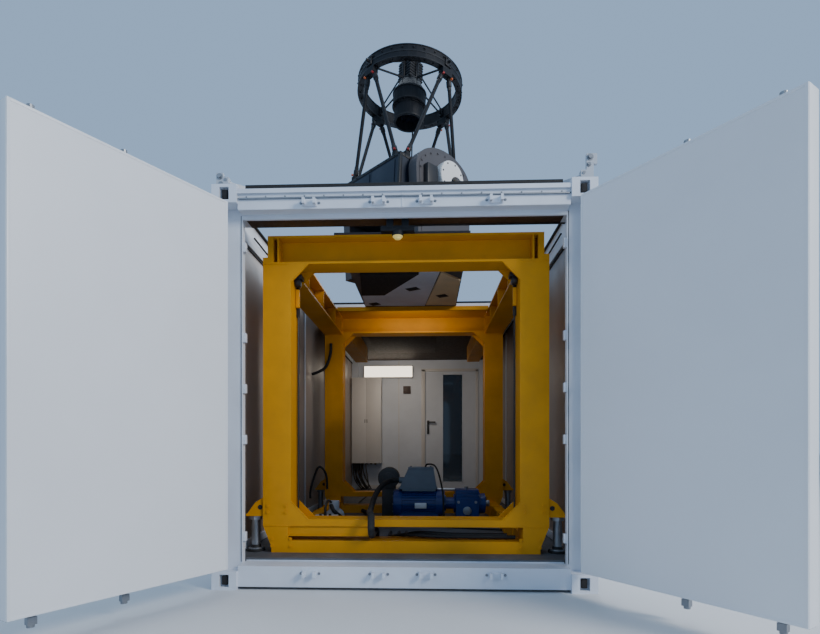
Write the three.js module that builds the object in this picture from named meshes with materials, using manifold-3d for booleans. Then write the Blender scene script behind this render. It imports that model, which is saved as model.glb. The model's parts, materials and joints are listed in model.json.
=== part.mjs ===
// A telescope station in a 20 ft container: steel container with swung-out cargo doors, an open roof
// bay, a yellow lifting frame inside and a truss telescope on a fork mount raised above the roof.
// Millimetres, +Z up, +Y runs from the cargo doors into the container, ground at z = 0.
import * as THREE from "three";
import { mergeVertices } from "three/addons/utils/BufferGeometryUtils.js";
import Module from "manifold-3d";

const wasm = await Module();
wasm.setup();

// Driving dimensions
const LENGTH = 6058; // container, over the castings
const WIDTH = 2438;
const HEIGHT = 2591;
const GAP = 0.4; // between neighbouring pieces
const HALF = WIDTH / 2;

// Shell of the container
const FLOOR_TOP = 170;
const FLOOR_LOW = 30;
const POST_WIDTH = 162; // front corner posts, seen from the front
const POST_DEPTH = 160;
const REBATE = 100; // depth of the recess that a closed cargo door lies in
const REBATE_EDGE = 32; // width of the post outside the recess
const WALL = 50; // corrugated side with its lining
const RAIL = 50; // top side rails
const HEADER_LOW = 2435;
const HEADER_TOP = 2560;
const HEADER_BACK = 300;
const CASTING = { width: 162, depth: 178, height: 118 };
const ROOF_LOW = 2440;
const ROOF_START = 2810; // the roof is open from the header to here
const END_WALL = 60; // thickness of the wall opposite the cargo doors
const END_POST = 162;
const SEAL = { x: 1195, y: [170, 2850], width: 46 };

// Cargo doors, drawn closed and then swung open
const DOOR_OPEN = { left: 120, right: 124.5 }; // degrees, as they stand
const DOOR_LOW = 158;
const DOOR_TOP = 2427;
const DOOR_THICK = 100;
const DOOR_FRONT = 2; // outer face of a closed door
const DOOR_EDGE = 1168; // hinge edge of a closed door, from the middle
const DOOR_SPLIT = 10; // from the middle to each closed door
const PIN = { x: 1180, y: -28, r: 11 };
const HINGE_HEIGHTS = [330, 880, 1290, 1700, 2250];
const BAR_X = [150, 590]; // lock bars, from the middle of the container
const BAR_R = 17;

// Personnel door in the end wall
const ENTRY = { left: 110, right: 1010, top: 2250, thick: 45 };
const ENTRY_GLASS = { left: 430, right: 770, low: 300, top: 2190 };

// Yellow frame
const FRAME_HALF = 1000;
const BEAM = 200; // posts and beams are 200 mm deep
const FRAME_TOP = 2400;
const FRONT_Y = 360; // front face of the front portal
const REAR_Y = 2600;
const FEET_TOP = 360;
const GUSSET = 125;
const FLANGE = 16;

// Telescope
const SCOPE = { x: -45, y: 1450 }; // the vertical axis
const ALT_Z = 3160; // height of the altitude axis
const MOUNT_TURN = 45; // degrees, how the fork stands about its vertical axis
const TUBE_LEAN = 3.5; // degrees from straight up
const RING_R = 472;
const RING_WIDTH = 48;
const RING_HEIGHT = 110;
const RING_RISE = 1008; // middle of the top ring above the altitude axis
const FORK_REACH = 448; // middle of each fork arm from the vertical axis
const ARM_THICK = 90;
const ARM_HEAD = { half: 330, rise: 225 }; // an arm's elliptic head, from the altitude axis
const ARM_FOOT = 300; // half its width at the foot
const BOX_HALF = { x: 395, y: 370 }; // mirror box, across and along the altitude axis
const BOX_Z = [-230, 108]; // from the altitude axis
const MIRROR_R = 330;
const TRUSS_R = 16;
const PLATE_Z = FRAME_TOP + GAP; // underside of the plate that carries the mount
const PLATE_THICK = 24;
const BASE_TOP = 2446;
const BASE_R = 430;

const rad = THREE.MathUtils.degToRad;

const paint = (colour, roughness, metalness = 0) =>
  new THREE.MeshStandardMaterial({ color: colour, roughness, metalness });
const white = () => paint(0xd3d9e2, 0.45);
const yellow = () => paint(0xd99a12, 0.5);
const lightGrey = () => paint(0x9aa0aa, 0.5);
const black = () => paint(0x14161a, 0.5);
const rubber = () => paint(0x101010, 0.85);
const steel = () => paint(0x8c8f94, 0.4, 0.7);
const blue = () => paint(0x12408f, 0.45);

const station = new THREE.Group();

function place(name, geometry, material, parent = station) {
  const mesh = new THREE.Mesh(geometry, material);
  mesh.name = name;
  parent.add(mesh);
  return mesh;
}

// Box from its lowest to its highest corner; x, y and z are [low, high]
function box(x, y, z) {
  const geometry = new THREE.BoxGeometry(x[1] - x[0], y[1] - y[0], z[1] - z[0]);
  return geometry.translate((x[0] + x[1]) / 2, (y[0] + y[1]) / 2, (z[0] + z[1]) / 2);
}

// Cylinder of the given length along "x", "y" or "z", about its middle at the point given
function rod(radius, length, axis, at, sides = 20) {
  const geometry = new THREE.CylinderGeometry(radius, radius, length, sides);
  if (axis === "x") geometry.rotateZ(Math.PI / 2);
  if (axis === "z") geometry.rotateX(Math.PI / 2);
  return geometry.translate(...at);
}

// Tube between two points
function strut(from, to, radius, sides = 10) {
  const along = new THREE.Vector3().subVectors(to, from);
  const turn = new THREE.Quaternion().setFromUnitVectors(
    new THREE.Vector3(0, 1, 0),
    along.clone().normalize(),
  );
  const middle = new THREE.Vector3().addVectors(from, to).multiplyScalar(0.5);
  return new THREE.CylinderGeometry(radius, radius, along.length(), sides)
    .applyQuaternion(turn)
    .translate(middle.x, middle.y, middle.z);
}

function shapeOf(points) {
  return new THREE.Shape(points.map(([u, v]) => new THREE.Vector2(u, v)));
}

// An outline in x and y raised along z
function raised(shape, z) {
  const geometry = new THREE.ExtrudeGeometry(shape, {
    depth: z[1] - z[0],
    bevelEnabled: false,
    curveSegments: 12,
  });
  return geometry.translate(0, 0, z[0]);
}

// An outline in x and z, as seen from the front, made as deep as y says
function standing(shape, y) {
  const geometry = new THREE.ExtrudeGeometry(shape, {
    depth: y[1] - y[0],
    bevelEnabled: false,
    curveSegments: 12,
  });
  return geometry.rotateX(Math.PI / 2).translate(0, y[1], 0);
}

function solid(geometry) {
  const bare = new THREE.BufferGeometry();
  const source = geometry.index ? geometry.toNonIndexed() : geometry;
  bare.setAttribute("position", source.getAttribute("position").clone());
  const merged = mergeVertices(bare, 1e-3);
  return new wasm.Manifold(
    new wasm.Mesh({
      numProp: 3,
      vertProperties: merged.attributes.position.array,
      triVerts: new Uint32Array(merged.index.array),
    }),
  );
}

function geometryOf(manifold) {
  const mesh = manifold.getMesh();
  const geometry = new THREE.BufferGeometry();
  geometry.setAttribute("position", new THREE.BufferAttribute(mesh.vertProperties, 3));
  geometry.setIndex(new THREE.BufferAttribute(mesh.triVerts, 1));
  geometry.computeVertexNormals();
  return geometry;
}

const join = (...parts) =>
  geometryOf(parts.map(solid).reduce((sum, part) => sum.add(part)));
const cut = (body, ...holes) =>
  geometryOf(holes.map(solid).reduce((rest, hole) => rest.subtract(hole), solid(body)));

// The same piece on the other side of the middle plane, with its faces still pointing out
function mirrored(geometry) {
  const copy = (geometry.index ? geometry.toNonIndexed() : geometry.clone()).scale(-1, 1, 1);
  const position = copy.getAttribute("position");
  const a = new THREE.Vector3();
  const b = new THREE.Vector3();
  for (let i = 0; i < position.count; i += 3) {
    a.fromBufferAttribute(position, i + 1);
    b.fromBufferAttribute(position, i + 2);
    position.setXYZ(i + 1, b.x, b.y, b.z);
    position.setXYZ(i + 2, a.x, a.y, a.z);
  }
  copy.deleteAttribute("normal");
  copy.computeVertexNormals();
  return copy;
}

// Right piece and its mirror image on the left
function pair(name, geometry, material) {
  place("right_" + name, geometry, material());
  place("left_" + name, mirrored(geometry), material());
}

// Container
const INNER = HALF - WALL;
const POST_IN = HALF - POST_WIDTH;
const BACK = LENGTH;
const SILL_FACE = 22;
const END_IN = BACK - 38 - END_WALL;

// The handling recesses of a corner casting, in its end face and its side face
function castingRecesses(x, endY, inward, z) {
  const half = 31;
  const depth = 36;
  const midX = (x[0] + x[1]) / 2;
  const midY = endY + (inward * CASTING.depth) / 2;
  const midZ = (z[0] + z[1]) / 2;
  const holeZ = [midZ - 40, midZ + 40];
  const endDepth = inward > 0 ? [endY - 5, endY + depth] : [endY - depth, endY + 5];
  return [
    box([midX - half, midX + half], endDepth, holeZ),
    box([x[1] - depth, x[1] + 5], [midY - half, midY + half], holeZ),
  ];
}

const castX = [HALF - CASTING.width, HALF];
const lowZ = [0, CASTING.height];
const highZ = [HEIGHT - CASTING.height, HEIGHT];
const frontCastY = [0, CASTING.depth];
const rearCastY = [BACK - CASTING.depth, BACK];

function frontPost() {
  const outline = shapeOf([
    [POST_IN, REBATE + 8],
    [HALF - REBATE_EDGE, REBATE + 8],
    [HALF - REBATE_EDGE, 8],
    [HALF, 8],
    [HALF, POST_DEPTH],
    [POST_IN, POST_DEPTH],
  ]);
  const parts = [
    raised(outline, [CASTING.height - 1, HEIGHT - CASTING.height + 1]),
    box(castX, frontCastY, lowZ),
    box(castX, frontCastY, highZ),
  ];
  // Hinge lugs in pairs, with the pin between them
  for (const height of HINGE_HEIGHTS) {
    for (const side of [-1, 1]) {
      const low = height + side * 62 - 9;
      parts.push(box([PIN.x - 16, PIN.x + 16], [PIN.y - 16, PIN.y + 14], [low, low + 18]));
      parts.push(box([PIN.x - 5, PIN.x + 16], [PIN.y, 9], [low, low + 18]));
    }
    parts.push(rod(PIN.r, 130, "z", [PIN.x, PIN.y, height], 12));
  }
  const recesses = [lowZ, highZ].flatMap((z) => castingRecesses(castX, 0, 1, z));
  return cut(join(...parts), ...recesses);
}

function rearPost() {
  const parts = [
    box([HALF - END_POST, HALF - 4], [BACK - END_POST, BACK - 4], [100, HEIGHT - 100]),
    box(castX, rearCastY, lowZ),
    box(castX, rearCastY, highZ),
  ];
  const recesses = [lowZ, highZ].flatMap((z) => castingRecesses(castX, BACK, -1, z));
  return cut(join(...parts), ...recesses);
}

// Side panel: flat lining inside, pressed corrugations outside
function sideWall() {
  const pitch = 276;
  const depth = 34;
  const start = POST_DEPTH + GAP;
  const end = BACK - END_POST - GAP;
  const count = Math.floor((end - start) / pitch);
  const spare = (end - start - count * pitch) / 2;
  const points = [
    [INNER, start],
    [HALF - 4, start],
  ];
  for (let i = 0; i < count; i += 1) {
    const y = start + spare + i * pitch;
    points.push([HALF - 4, y + 34], [HALF - 4 - depth, y + 102]);
    points.push([HALF - 4 - depth, y + 172], [HALF - 4, y + 240]);
  }
  points.push([HALF - 4, end], [INNER, end]);
  return raised(shapeOf(points), [FLOOR_TOP + GAP, HEIGHT - CASTING.height - GAP]);
}

pair("front_post", frontPost(), white);
pair("rear_post", rearPost(), white);
pair("side_wall", sideWall(), white);
const railY = [CASTING.depth + GAP, BACK - CASTING.depth - GAP];
pair("top_rail", box([HALF - RAIL, HALF - 2], railY, [HEIGHT - CASTING.height, HEIGHT]), white);

// A slab between the side rails, with a narrower stretch that reaches the end wall between its posts
const BETWEEN_POSTS = HALF - CASTING.width - GAP;
function slab(start, z, x) {
  return join(
    box([-x, x], [start, railY[1]], z),
    box([-BETWEEN_POSTS, BETWEEN_POSTS], [start, END_IN - GAP], z),
  );
}
const ENTRY_WAY = [ENTRY.left - 12 + GAP, ENTRY.right + 12 - GAP];
place(
  "floor",
  join(
    slab(railY[0], [FLOOR_LOW, FLOOR_TOP], HALF - 2),
    box(ENTRY_WAY, [END_IN - 10, BACK - 38], [FLOOR_LOW, FLOOR_TOP]),
  ),
  paint(0x4b4f57, 0.7),
);
place("rear_roof", slab(ROOF_START, [ROOF_LOW, HEIGHT - 18], HALF - RAIL - GAP), white());

// Cam keepers in front of a beam's face, at each lock bar: a pad with a jaw on either side
function keepers(z) {
  const parts = [];
  for (const barX of BAR_X) {
    for (const side of [-1, 1]) {
      const middle = side * barX;
      parts.push(box([middle - 46, middle + 46], [SILL_FACE - 12, SILL_FACE + 2], z));
      for (const jaw of [-1, 1]) {
        const x = middle + jaw * 34;
        parts.push(box([x - 8, x + 8], [-26, SILL_FACE + 2], [z[0] + 4, z[1] - 4]));
      }
    }
  }
  return parts;
}
const frontX = [-BETWEEN_POSTS, BETWEEN_POSTS];
place(
  "door_sill",
  join(box(frontX, [SILL_FACE, CASTING.depth], [12, 150]), ...keepers([84, 128])),
  white(),
);
const headerBackX = HALF - RAIL - GAP;
place(
  "door_header",
  join(
    box(frontX, [SILL_FACE, HEADER_BACK], [HEADER_LOW, HEADER_TOP]),
    box([-headerBackX, headerBackX], [railY[0], HEADER_BACK], [HEADER_LOW, HEADER_TOP]),
    box(frontX, [6, 60], [HEADER_TOP - 28, HEADER_TOP]),
    ...keepers([2446, 2490]),
  ),
  white(),
);

// Small camera and dome lamp on a bracket under the header: two hangers, a crossbar and the lamp
const BRACKET_Y = 150;
const bracketTop = HEADER_LOW - GAP;
const hangerZ = [bracketTop - 78, bracketTop];
const crossbarZ = [bracketTop - 96, bracketTop - 62];
place(
  "header_bracket",
  join(
    box([-112, -66], [BRACKET_Y, BRACKET_Y + 40], hangerZ),
    box([-10, 36], [BRACKET_Y, BRACKET_Y + 40], hangerZ),
    box([-150, 74], [BRACKET_Y + 4, BRACKET_Y + 60], crossbarZ),
    rod(38, 30, "z", [-38, BRACKET_Y + 30, crossbarZ[0] - 12], 20),
  ),
  black(),
);

// Rubber seal round the open bay, for the roof cover, with a deep lip on top of the header
const sealZ = [HEIGHT + GAP, HEIGHT + 10];
const sealInside = [
  [-SEAL.x + SEAL.width, SEAL.x - SEAL.width],
  [SEAL.y[0] + SEAL.width, SEAL.y[1] - SEAL.width],
  [HEADER_TOP - 10, HEIGHT + 30],
];
place(
  "bay_seal",
  join(
    cut(box([-SEAL.x, SEAL.x], SEAL.y, sealZ), box(...sealInside)),
    box([-1010, 1010], [30, SEAL.y[0] + SEAL.width], [HEADER_TOP + GAP, HEIGHT + 4]),
  ),
  rubber(),
);

// End wall in pieces round the personnel door
const endY = [END_IN, BACK - 38];
const endTop = HEIGHT - 6;
place("end_wall_left", box([-BETWEEN_POSTS, ENTRY.left - 12], endY, [12, endTop]), white());
// Lugs above and below each hinge knuckle of the personnel door
const ENTRY_PIN = { x: ENTRY.right + 6, y: BACK - 26, r: 9 };
const ENTRY_HINGES = [420, 1220, 2020];
const entryLugs = ENTRY_HINGES.flatMap((height) =>
  [-63, 63].flatMap((rise) => {
    const z = [height + rise - 7, height + rise + 7];
    return [
      box([ENTRY_PIN.x - 8, BETWEEN_POSTS - 8], [BACK - 35, BACK - 17], z),
      box([ENTRY.right + 14, BETWEEN_POSTS - 8], [BACK - 40, BACK - 30], z),
    ];
  }),
);
place(
  "end_wall_right",
  join(box([ENTRY.right + 12, BETWEEN_POSTS], endY, [12, endTop]), ...entryLugs),
  white(),
);
place("end_wall_over_door", box(ENTRY_WAY, endY, [ENTRY.top + 12, endTop]), white());

// A cargo door swings about its hinge pins; drawn closed in the pin's frame, on the right side
function doorGroup(side, open) {
  const group = new THREE.Group();
  group.position.set(side * PIN.x, PIN.y, 0);
  group.rotation.z = side * rad(open);
  station.add(group);
  return group;
}

function cargoDoor() {
  const face = [DOOR_FRONT - PIN.y, DOOR_FRONT + DOOR_THICK - PIN.y];
  const x = [DOOR_SPLIT - PIN.x, DOOR_EDGE - PIN.x];
  const parts = [box(x, face, [DOOR_LOW, DOOR_TOP])];
  // Hinge straps that reach round the pins
  for (const height of HINGE_HEIGHTS) {
    parts.push(box([x[1] - 150, x[1] + 2], [-10, face[0] + 1], [height - 48, height + 48]));
    parts.push(rod(18, 96, "z", [0, 0, height], 16));
    parts.push(box([-40, 0], [-10, 10], [height - 48, height + 48]));
  }
  const bores = HINGE_HEIGHTS.map((height) => rod(PIN.r + 0.7, 110, "z", [0, 0, height], 12));
  return cut(join(...parts), ...bores);
}

// A lock bar stands in front of its door in four guides, with cams above and below the door
function lockBar(barX) {
  const y = DOOR_FRONT - BAR_R - 5 - PIN.y;
  const x = barX - PIN.x;
  const low = 74;
  const high = 2504;
  const parts = [rod(BAR_R, high - low, "z", [x, y, (low + high) / 2], 12)];
  for (const height of [420, 950, 1620, 2160]) {
    const guide = [height - 30, height + 30];
    parts.push(box([x - 42, x + 42], [y - 3, DOOR_FRONT - PIN.y - GAP], guide));
  }
  for (const height of [106, 2468]) {
    parts.push(box([x - 20, x + 20], [y - 12, y + 20], [height - 18, height + 18]));
  }
  // Handle, clipped flat against the door
  parts.push(box([x, x + 40], [y - 9, y + 9], [1080, 1120]));
  parts.push(box([x + 20, x + 330], [y - 9, y + 9], [1085, 1115]));
  return join(...parts);
}

for (const [side, word] of [[1, "right"], [-1, "left"]]) {
  const group = doorGroup(side, DOOR_OPEN[word]);
  const pose = (geometry) => (side === 1 ? geometry : mirrored(geometry));
  place(word + "_cargo_door", pose(cargoDoor()), white(), group);
  place(word + "_inner_lock_bar", pose(lockBar(BAR_X[0])), steel(), group);
  place(word + "_outer_lock_bar", pose(lockBar(BAR_X[1])), steel(), group);
}

// Brackets of the roof cover on the front corners: a foot plate, an upright cheek and a lever
function roofBracket(cheekTop, leanOut) {
  const top = HEIGHT + GAP;
  const cheek = box([HALF - 62, HALF - 18], [34, 58], [top + 4, cheekTop]);
  const lever = box([-190, 0], [-17, 17], [top + 14, top + 44]).rotateZ(rad(-38));
  const knuckle = box([HALF - 96, HALF - 61], [34, 80], [top + 8, top + 62]);
  return join(
    box([HALF - 140, HALF - 12], [20, 150], [top, top + 12]),
    cheek,
    box([HALF - 62, HALF - 18 + leanOut], [34, 58], [cheekTop - 66, cheekTop]),
    lever.translate(HALF - 62, 60, 0),
    knuckle,
    rod(17, 50, "y", [HALF - 78, 82, top + 44], 12),
  );
}
place("right_roof_bracket", roofBracket(2756, 22), lightGrey());
place("left_roof_bracket", mirrored(roofBracket(2680, 0)), lightGrey());

// Personnel door with its own group at the hinge
const entry = new THREE.Group();
entry.position.set(ENTRY_PIN.x, ENTRY_PIN.y, 0);
station.add(entry);
const entryFace = [BACK - 38 - ENTRY.thick - ENTRY_PIN.y, BACK - 38 - ENTRY_PIN.y];
const entryX = [ENTRY.left - ENTRY_PIN.x, ENTRY.right - ENTRY_PIN.x];
const glassX = [ENTRY_GLASS.left - ENTRY_PIN.x, ENTRY_GLASS.right - ENTRY_PIN.x];
const glassZ = [ENTRY_GLASS.low, ENTRY_GLASS.top];
place(
  "entry_door",
  cut(
    join(
      box(entryX, entryFace, [FLOOR_TOP + 8, ENTRY.top]),
      ...ENTRY_HINGES.map((height) => rod(ENTRY_PIN.r, 111, "z", [0, 0, height], 12)),
      ...ENTRY_HINGES.map((height) => box([-16, 0], [-13, 3], [height - 55, height + 55])),
    ),
    box(glassX, [entryFace[0] - 5, entryFace[1] + 5], glassZ),
  ),
  white(),
  entry,
);
place(
  "entry_glass",
  box(
    [glassX[0] + GAP, glassX[1] - GAP],
    [entryFace[0] + 16, entryFace[0] + 30],
    [glassZ[0] + GAP, glassZ[1] - GAP],
  ),
  paint(0x243038, 0.1),
  entry,
);
const leverX = ENTRY.left + 60 - ENTRY_PIN.x;
place(
  "entry_handle",
  join(
    box([leverX - 20, leverX + 20], [entryFace[0] - 8, entryFace[0] - GAP], [1140, 1380]),
    rod(11, 55, "y", [leverX, entryFace[0] - 30, 1350], 12),
    box([leverX - 11, leverX + 130], [entryFace[0] - 58, entryFace[0] - 40], [1339, 1361]),
  ),
  black(),
  entry,
);

// Gusseted bracket beside a post, which a levelling jack stands under
const JACK_X = FRAME_HALF + 74;
const JACK_Z = [424, 441];
function jackBracket(y) {
  const gusset = shapeOf([
    [FRAME_HALF - 1, JACK_Z[1] - 1],
    [FRAME_HALF + 118, JACK_Z[1] - 1],
    [FRAME_HALF + 60, 520],
    [FRAME_HALF - 1, 560],
  ]);
  return join(
    box([FRAME_HALF - 1, FRAME_HALF + 126], [y, y + 120], JACK_Z),
    standing(gusset, [y, y + 14]),
    standing(gusset, [y + 106, y + 120]),
  );
}

// Yellow frame
// Outline of a portal: a tall rectangle with chamfered feet and an opening
function portalOutline(cornerCut) {
  const foot = 60;
  const shape = shapeOf([
    [-FRAME_HALF + foot, FLOOR_TOP + GAP],
    [FRAME_HALF - foot, FLOOR_TOP + GAP],
    [FRAME_HALF - foot, FLOOR_TOP + 40],
    [FRAME_HALF, FEET_TOP],
    [FRAME_HALF, FRAME_TOP],
    [-FRAME_HALF, FRAME_TOP],
    [-FRAME_HALF, FEET_TOP],
    [-FRAME_HALF + foot, FLOOR_TOP + 40],
  ]);
  const x = FRAME_HALF - BEAM;
  const low = FEET_TOP + 45;
  const high = FRAME_TOP - BEAM;
  const opening = new THREE.Path();
  opening.moveTo(-x, low + cornerCut);
  opening.lineTo(-x, high - cornerCut);
  opening.lineTo(-x + cornerCut, high);
  opening.lineTo(x - cornerCut, high);
  opening.lineTo(x, high - cornerCut);
  opening.lineTo(x, low + cornerCut);
  opening.lineTo(x - cornerCut, low);
  opening.lineTo(-x + cornerCut, low);
  shape.holes.push(opening);
  return shape;
}

function portal(y, jackY) {
  const back = y + BEAM;
  const body = join(
    jackBracket(jackY),
    mirrored(jackBracket(jackY)),
    standing(portalOutline(1), [y, back]),
    standing(portalOutline(GUSSET), [y, y + FLANGE]),
    standing(portalOutline(GUSSET), [back - FLANGE, back]),
  );
  // The top beam is an I section, with stiffeners at its ends
  const webDepth = (BEAM - 14) / 2;
  const pocketX = [-(FRAME_HALF - 75), FRAME_HALF - 75];
  const pocketZ = [FRAME_TOP - BEAM + FLANGE, FRAME_TOP - FLANGE];
  // It stands in a little from the posts' outer faces
  const stepZ = [FRAME_TOP - BEAM + 48, FRAME_TOP + 5];
  const step = box([FRAME_HALF - 34, FRAME_HALF + 5], [y - 5, back + 5], stepZ);
  // The bottom member is a beam with a slot through its lower part, for the cables
  const slotX = [-(FRAME_HALF - BEAM + 20), FRAME_HALF - BEAM + 20];
  return cut(
    body,
    step,
    mirrored(step),
    box(pocketX, [y - 5, y + webDepth], pocketZ),
    box(pocketX, [back - webDepth, back + 5], pocketZ),
    box(slotX, [y - 5, back + 5], [FLOOR_TOP + 85, FEET_TOP - 6]),
  );
}
place("front_portal", portal(FRONT_Y, FRONT_Y + 14), yellow());
// The rear portal also carries a shelf that the mount's plate runs onto
const shelfX = FRAME_HALF - BEAM - GAP;
place(
  "rear_portal",
  join(
    portal(REAR_Y, REAR_Y + 66),
    box([-shelfX, shelfX], [REAR_Y - 350, REAR_Y + 2], [FRAME_TOP - 20, FRAME_TOP]),
    box([-shelfX, shelfX], [REAR_Y - 350, REAR_Y - 334], [FRAME_TOP - 42, FRAME_TOP]),
  ),
  yellow(),
);

const sideY = [FRONT_Y + BEAM + GAP, REAR_Y - GAP];
pair(
  "frame_top_beam",
  cut(
    box([FRAME_HALF - BEAM, FRAME_HALF], sideY, [FRAME_TOP - 220, FRAME_TOP - 20]),
    box([FRAME_HALF - BEAM - 5, FRAME_HALF - BEAM / 2 - 7], [sideY[0] + 60, sideY[1] - 60], [
      FRAME_TOP - 220 + FLANGE,
      FRAME_TOP - 20 - FLANGE,
    ]),
  ),
  yellow,
);
pair(
  "frame_bottom_beam",
  box([FRAME_HALF - BEAM + 20, FRAME_HALF - 80], sideY, [FLOOR_TOP + GAP, FEET_TOP - 60]),
  yellow,
);
const ceilingY = [REAR_Y + BEAM + GAP, 4720];
pair("ceiling_beam", box([760, 940], ceilingY, [FRAME_TOP - 190, ROOF_LOW - GAP]), yellow);

// Levelling jacks beside the four posts: a column on a foot, under the portal's bracket
function jack(y) {
  const top = JACK_Z[0] - GAP;
  return join(
    rod(30, top - 190, "z", [JACK_X, y + 60, (top + 190) / 2], 16),
    rod(52, 26, "z", [JACK_X, y + 60, FLOOR_TOP + GAP + 13], 16),
  );
}
pair("front_jack", jack(FRONT_Y + 14), steel);
pair("rear_jack", jack(REAR_Y + 66), steel);

// Telescope: a plate across the frame, an azimuth ring, a fork and a truss tube between its arms
place(
  "mount_plate",
  box([-500, 460], [FRONT_Y + 20, REAR_Y + 160], [PLATE_Z, PLATE_Z + PLATE_THICK]),
  lightGrey(),
);
const ringZ = [PLATE_Z + PLATE_THICK + GAP, BASE_TOP - GAP];
place(
  "azimuth_ring",
  rod(390, ringZ[1] - ringZ[0], "z", [SCOPE.x, SCOPE.y, (ringZ[0] + ringZ[1]) / 2], 40),
  steel(),
);

const mount = new THREE.Group();
mount.position.set(SCOPE.x, SCOPE.y, 0);
mount.rotation.z = rad(MOUNT_TURN);
station.add(mount);

// Fork: a round base, a cross beam and an arm on either side of the tube
function forkArm(side) {
  const shape = new THREE.Shape();
  shape.moveTo(-ARM_FOOT, BASE_TOP + 20);
  shape.lineTo(ARM_FOOT, BASE_TOP + 20);
  shape.lineTo(ARM_HEAD.half, ALT_Z);
  shape.absellipse(0, ALT_Z, ARM_HEAD.half, ARM_HEAD.rise, 0, Math.PI, false);
  shape.lineTo(-ARM_FOOT, BASE_TOP + 20);
  const middle = side * FORK_REACH;
  return standing(shape, [middle - ARM_THICK / 2, middle + ARM_THICK / 2]);
}
const BEAM_HALF = 250;
const bearingEnd = BOX_HALF.y + 24;
const forkBearing = FORK_REACH - bearingEnd;
place(
  "fork",
  join(
    rod(BASE_R, 32, "z", [0, 0, BASE_TOP + 16], 48),
    box([-BEAM_HALF, BEAM_HALF], [-FORK_REACH, FORK_REACH], [BASE_TOP + 20, 2640]),
    forkArm(-1),
    forkArm(1),
    ...[-1, 1].map((side) =>
      rod(110, forkBearing, "y", [0, side * (bearingEnd + forkBearing / 2), ALT_Z], 24),
    ),
  ),
  lightGrey(),
  mount,
);
// Round cover of the altitude drive, on the outside of the near arm, open towards its lower corner
const coverY = -FORK_REACH - ARM_THICK / 2 - GAP;
const cover = { x: 20, z: ALT_Z - 15, r: 135, deep: 70, wall: 15 };
const coverHole = { x: cover.x + 55, z: cover.z - 47, r: 72 };
const coverMiddle = coverY - cover.deep / 2;
place(
  "drive_cover",
  cut(
    rod(cover.r, cover.deep, "y", [cover.x, coverMiddle, cover.z], 28),
    rod(coverHole.r, cover.deep, "y", [coverHole.x, coverMiddle - cover.wall, coverHole.z], 20),
  ),
  white(),
  mount,
);

// Tube, drawn about the altitude axis and then leaned over
const tube = new THREE.Group();
tube.position.set(0, 0, ALT_Z);
tube.rotation.y = rad(TUBE_LEAN);
mount.add(tube);

function ring(outer, inner, z, sides) {
  const profile = [
    [inner, z[0]],
    [outer, z[0]],
    [outer, z[1]],
    [inner, z[1]],
    [inner, z[0]],
  ].map(([r, height]) => new THREE.Vector2(r, height));
  return new THREE.LatheGeometry(profile, sides).rotateX(Math.PI / 2);
}
place(
  "mirror_box",
  join(
    cut(
      box([-BOX_HALF.x, BOX_HALF.x], [-BOX_HALF.y, BOX_HALF.y], BOX_Z),
      rod(MIRROR_R, 160, "z", [0, 0, BOX_Z[1] - 70], 36),
    ),
    ...[-1, 1].map((side) => rod(100, 70, "y", [0, side * (bearingEnd - GAP - 35), 0], 24)),
  ),
  black(),
  tube,
);

const ringLow = RING_RISE - RING_HEIGHT / 2;
const ringHigh = RING_RISE + RING_HEIGHT / 2;
place("top_ring", ring(RING_R, RING_R - RING_WIDTH, [ringLow, ringHigh], 40), black(), tube);

// Eight truss tubes in four pairs: a pair parts from a block under the ring to two corners of the box
const TRUSS_HEAD = { out: 27, along: 57, rise: 48 }; // half the block's width both ways, and its height
const TRUSS_FOOT = 24;
const TRUSS_SPREAD = 38; // from the middle of a block to each of its tubes
function trussPair(outX, outY) {
  const r = RING_R - RING_WIDTH / 2;
  const along = { x: Math.abs(outY), y: Math.abs(outX) };
  const reachOut = BOX_HALF.x * Math.abs(outX) + BOX_HALF.y * Math.abs(outY) - 34;
  const reachAlong = BOX_HALF.x * along.x + BOX_HALF.y * along.y - 94;
  const headZ = ringLow - GAP - 30;
  const footZ = BOX_Z[1] + GAP + 26;
  const headTop = headZ + 30;
  const headHalfX = along.x ? TRUSS_HEAD.along : TRUSS_HEAD.out;
  const headHalfY = along.y ? TRUSS_HEAD.along : TRUSS_HEAD.out;
  const parts = [
    box(
      [r * outX - headHalfX, r * outX + headHalfX],
      [r * outY - headHalfY, r * outY + headHalfY],
      [headTop - TRUSS_HEAD.rise, headTop],
    ),
  ];
  for (const side of [-1, 1]) {
    const x = reachOut * outX + side * reachAlong * along.x;
    const y = reachOut * outY + side * reachAlong * along.y;
    const headX = r * outX + side * TRUSS_SPREAD * along.x;
    const headY = r * outY + side * TRUSS_SPREAD * along.y;
    parts.push(
      strut(new THREE.Vector3(x, y, footZ), new THREE.Vector3(headX, headY, headZ), TRUSS_R),
    );
    const footX = [x - TRUSS_FOOT, x + TRUSS_FOOT];
    parts.push(box(footX, [y - TRUSS_FOOT, y + TRUSS_FOOT], [footZ - 26, footZ + 20]));
  }
  return join(...parts);
}
for (const [i, [outX, outY]] of [[1, 0], [0, 1], [-1, 0], [0, -1]].entries()) {
  place("truss_pair_" + (i + 1), trussPair(outX, outY), black(), tube);
}

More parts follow.
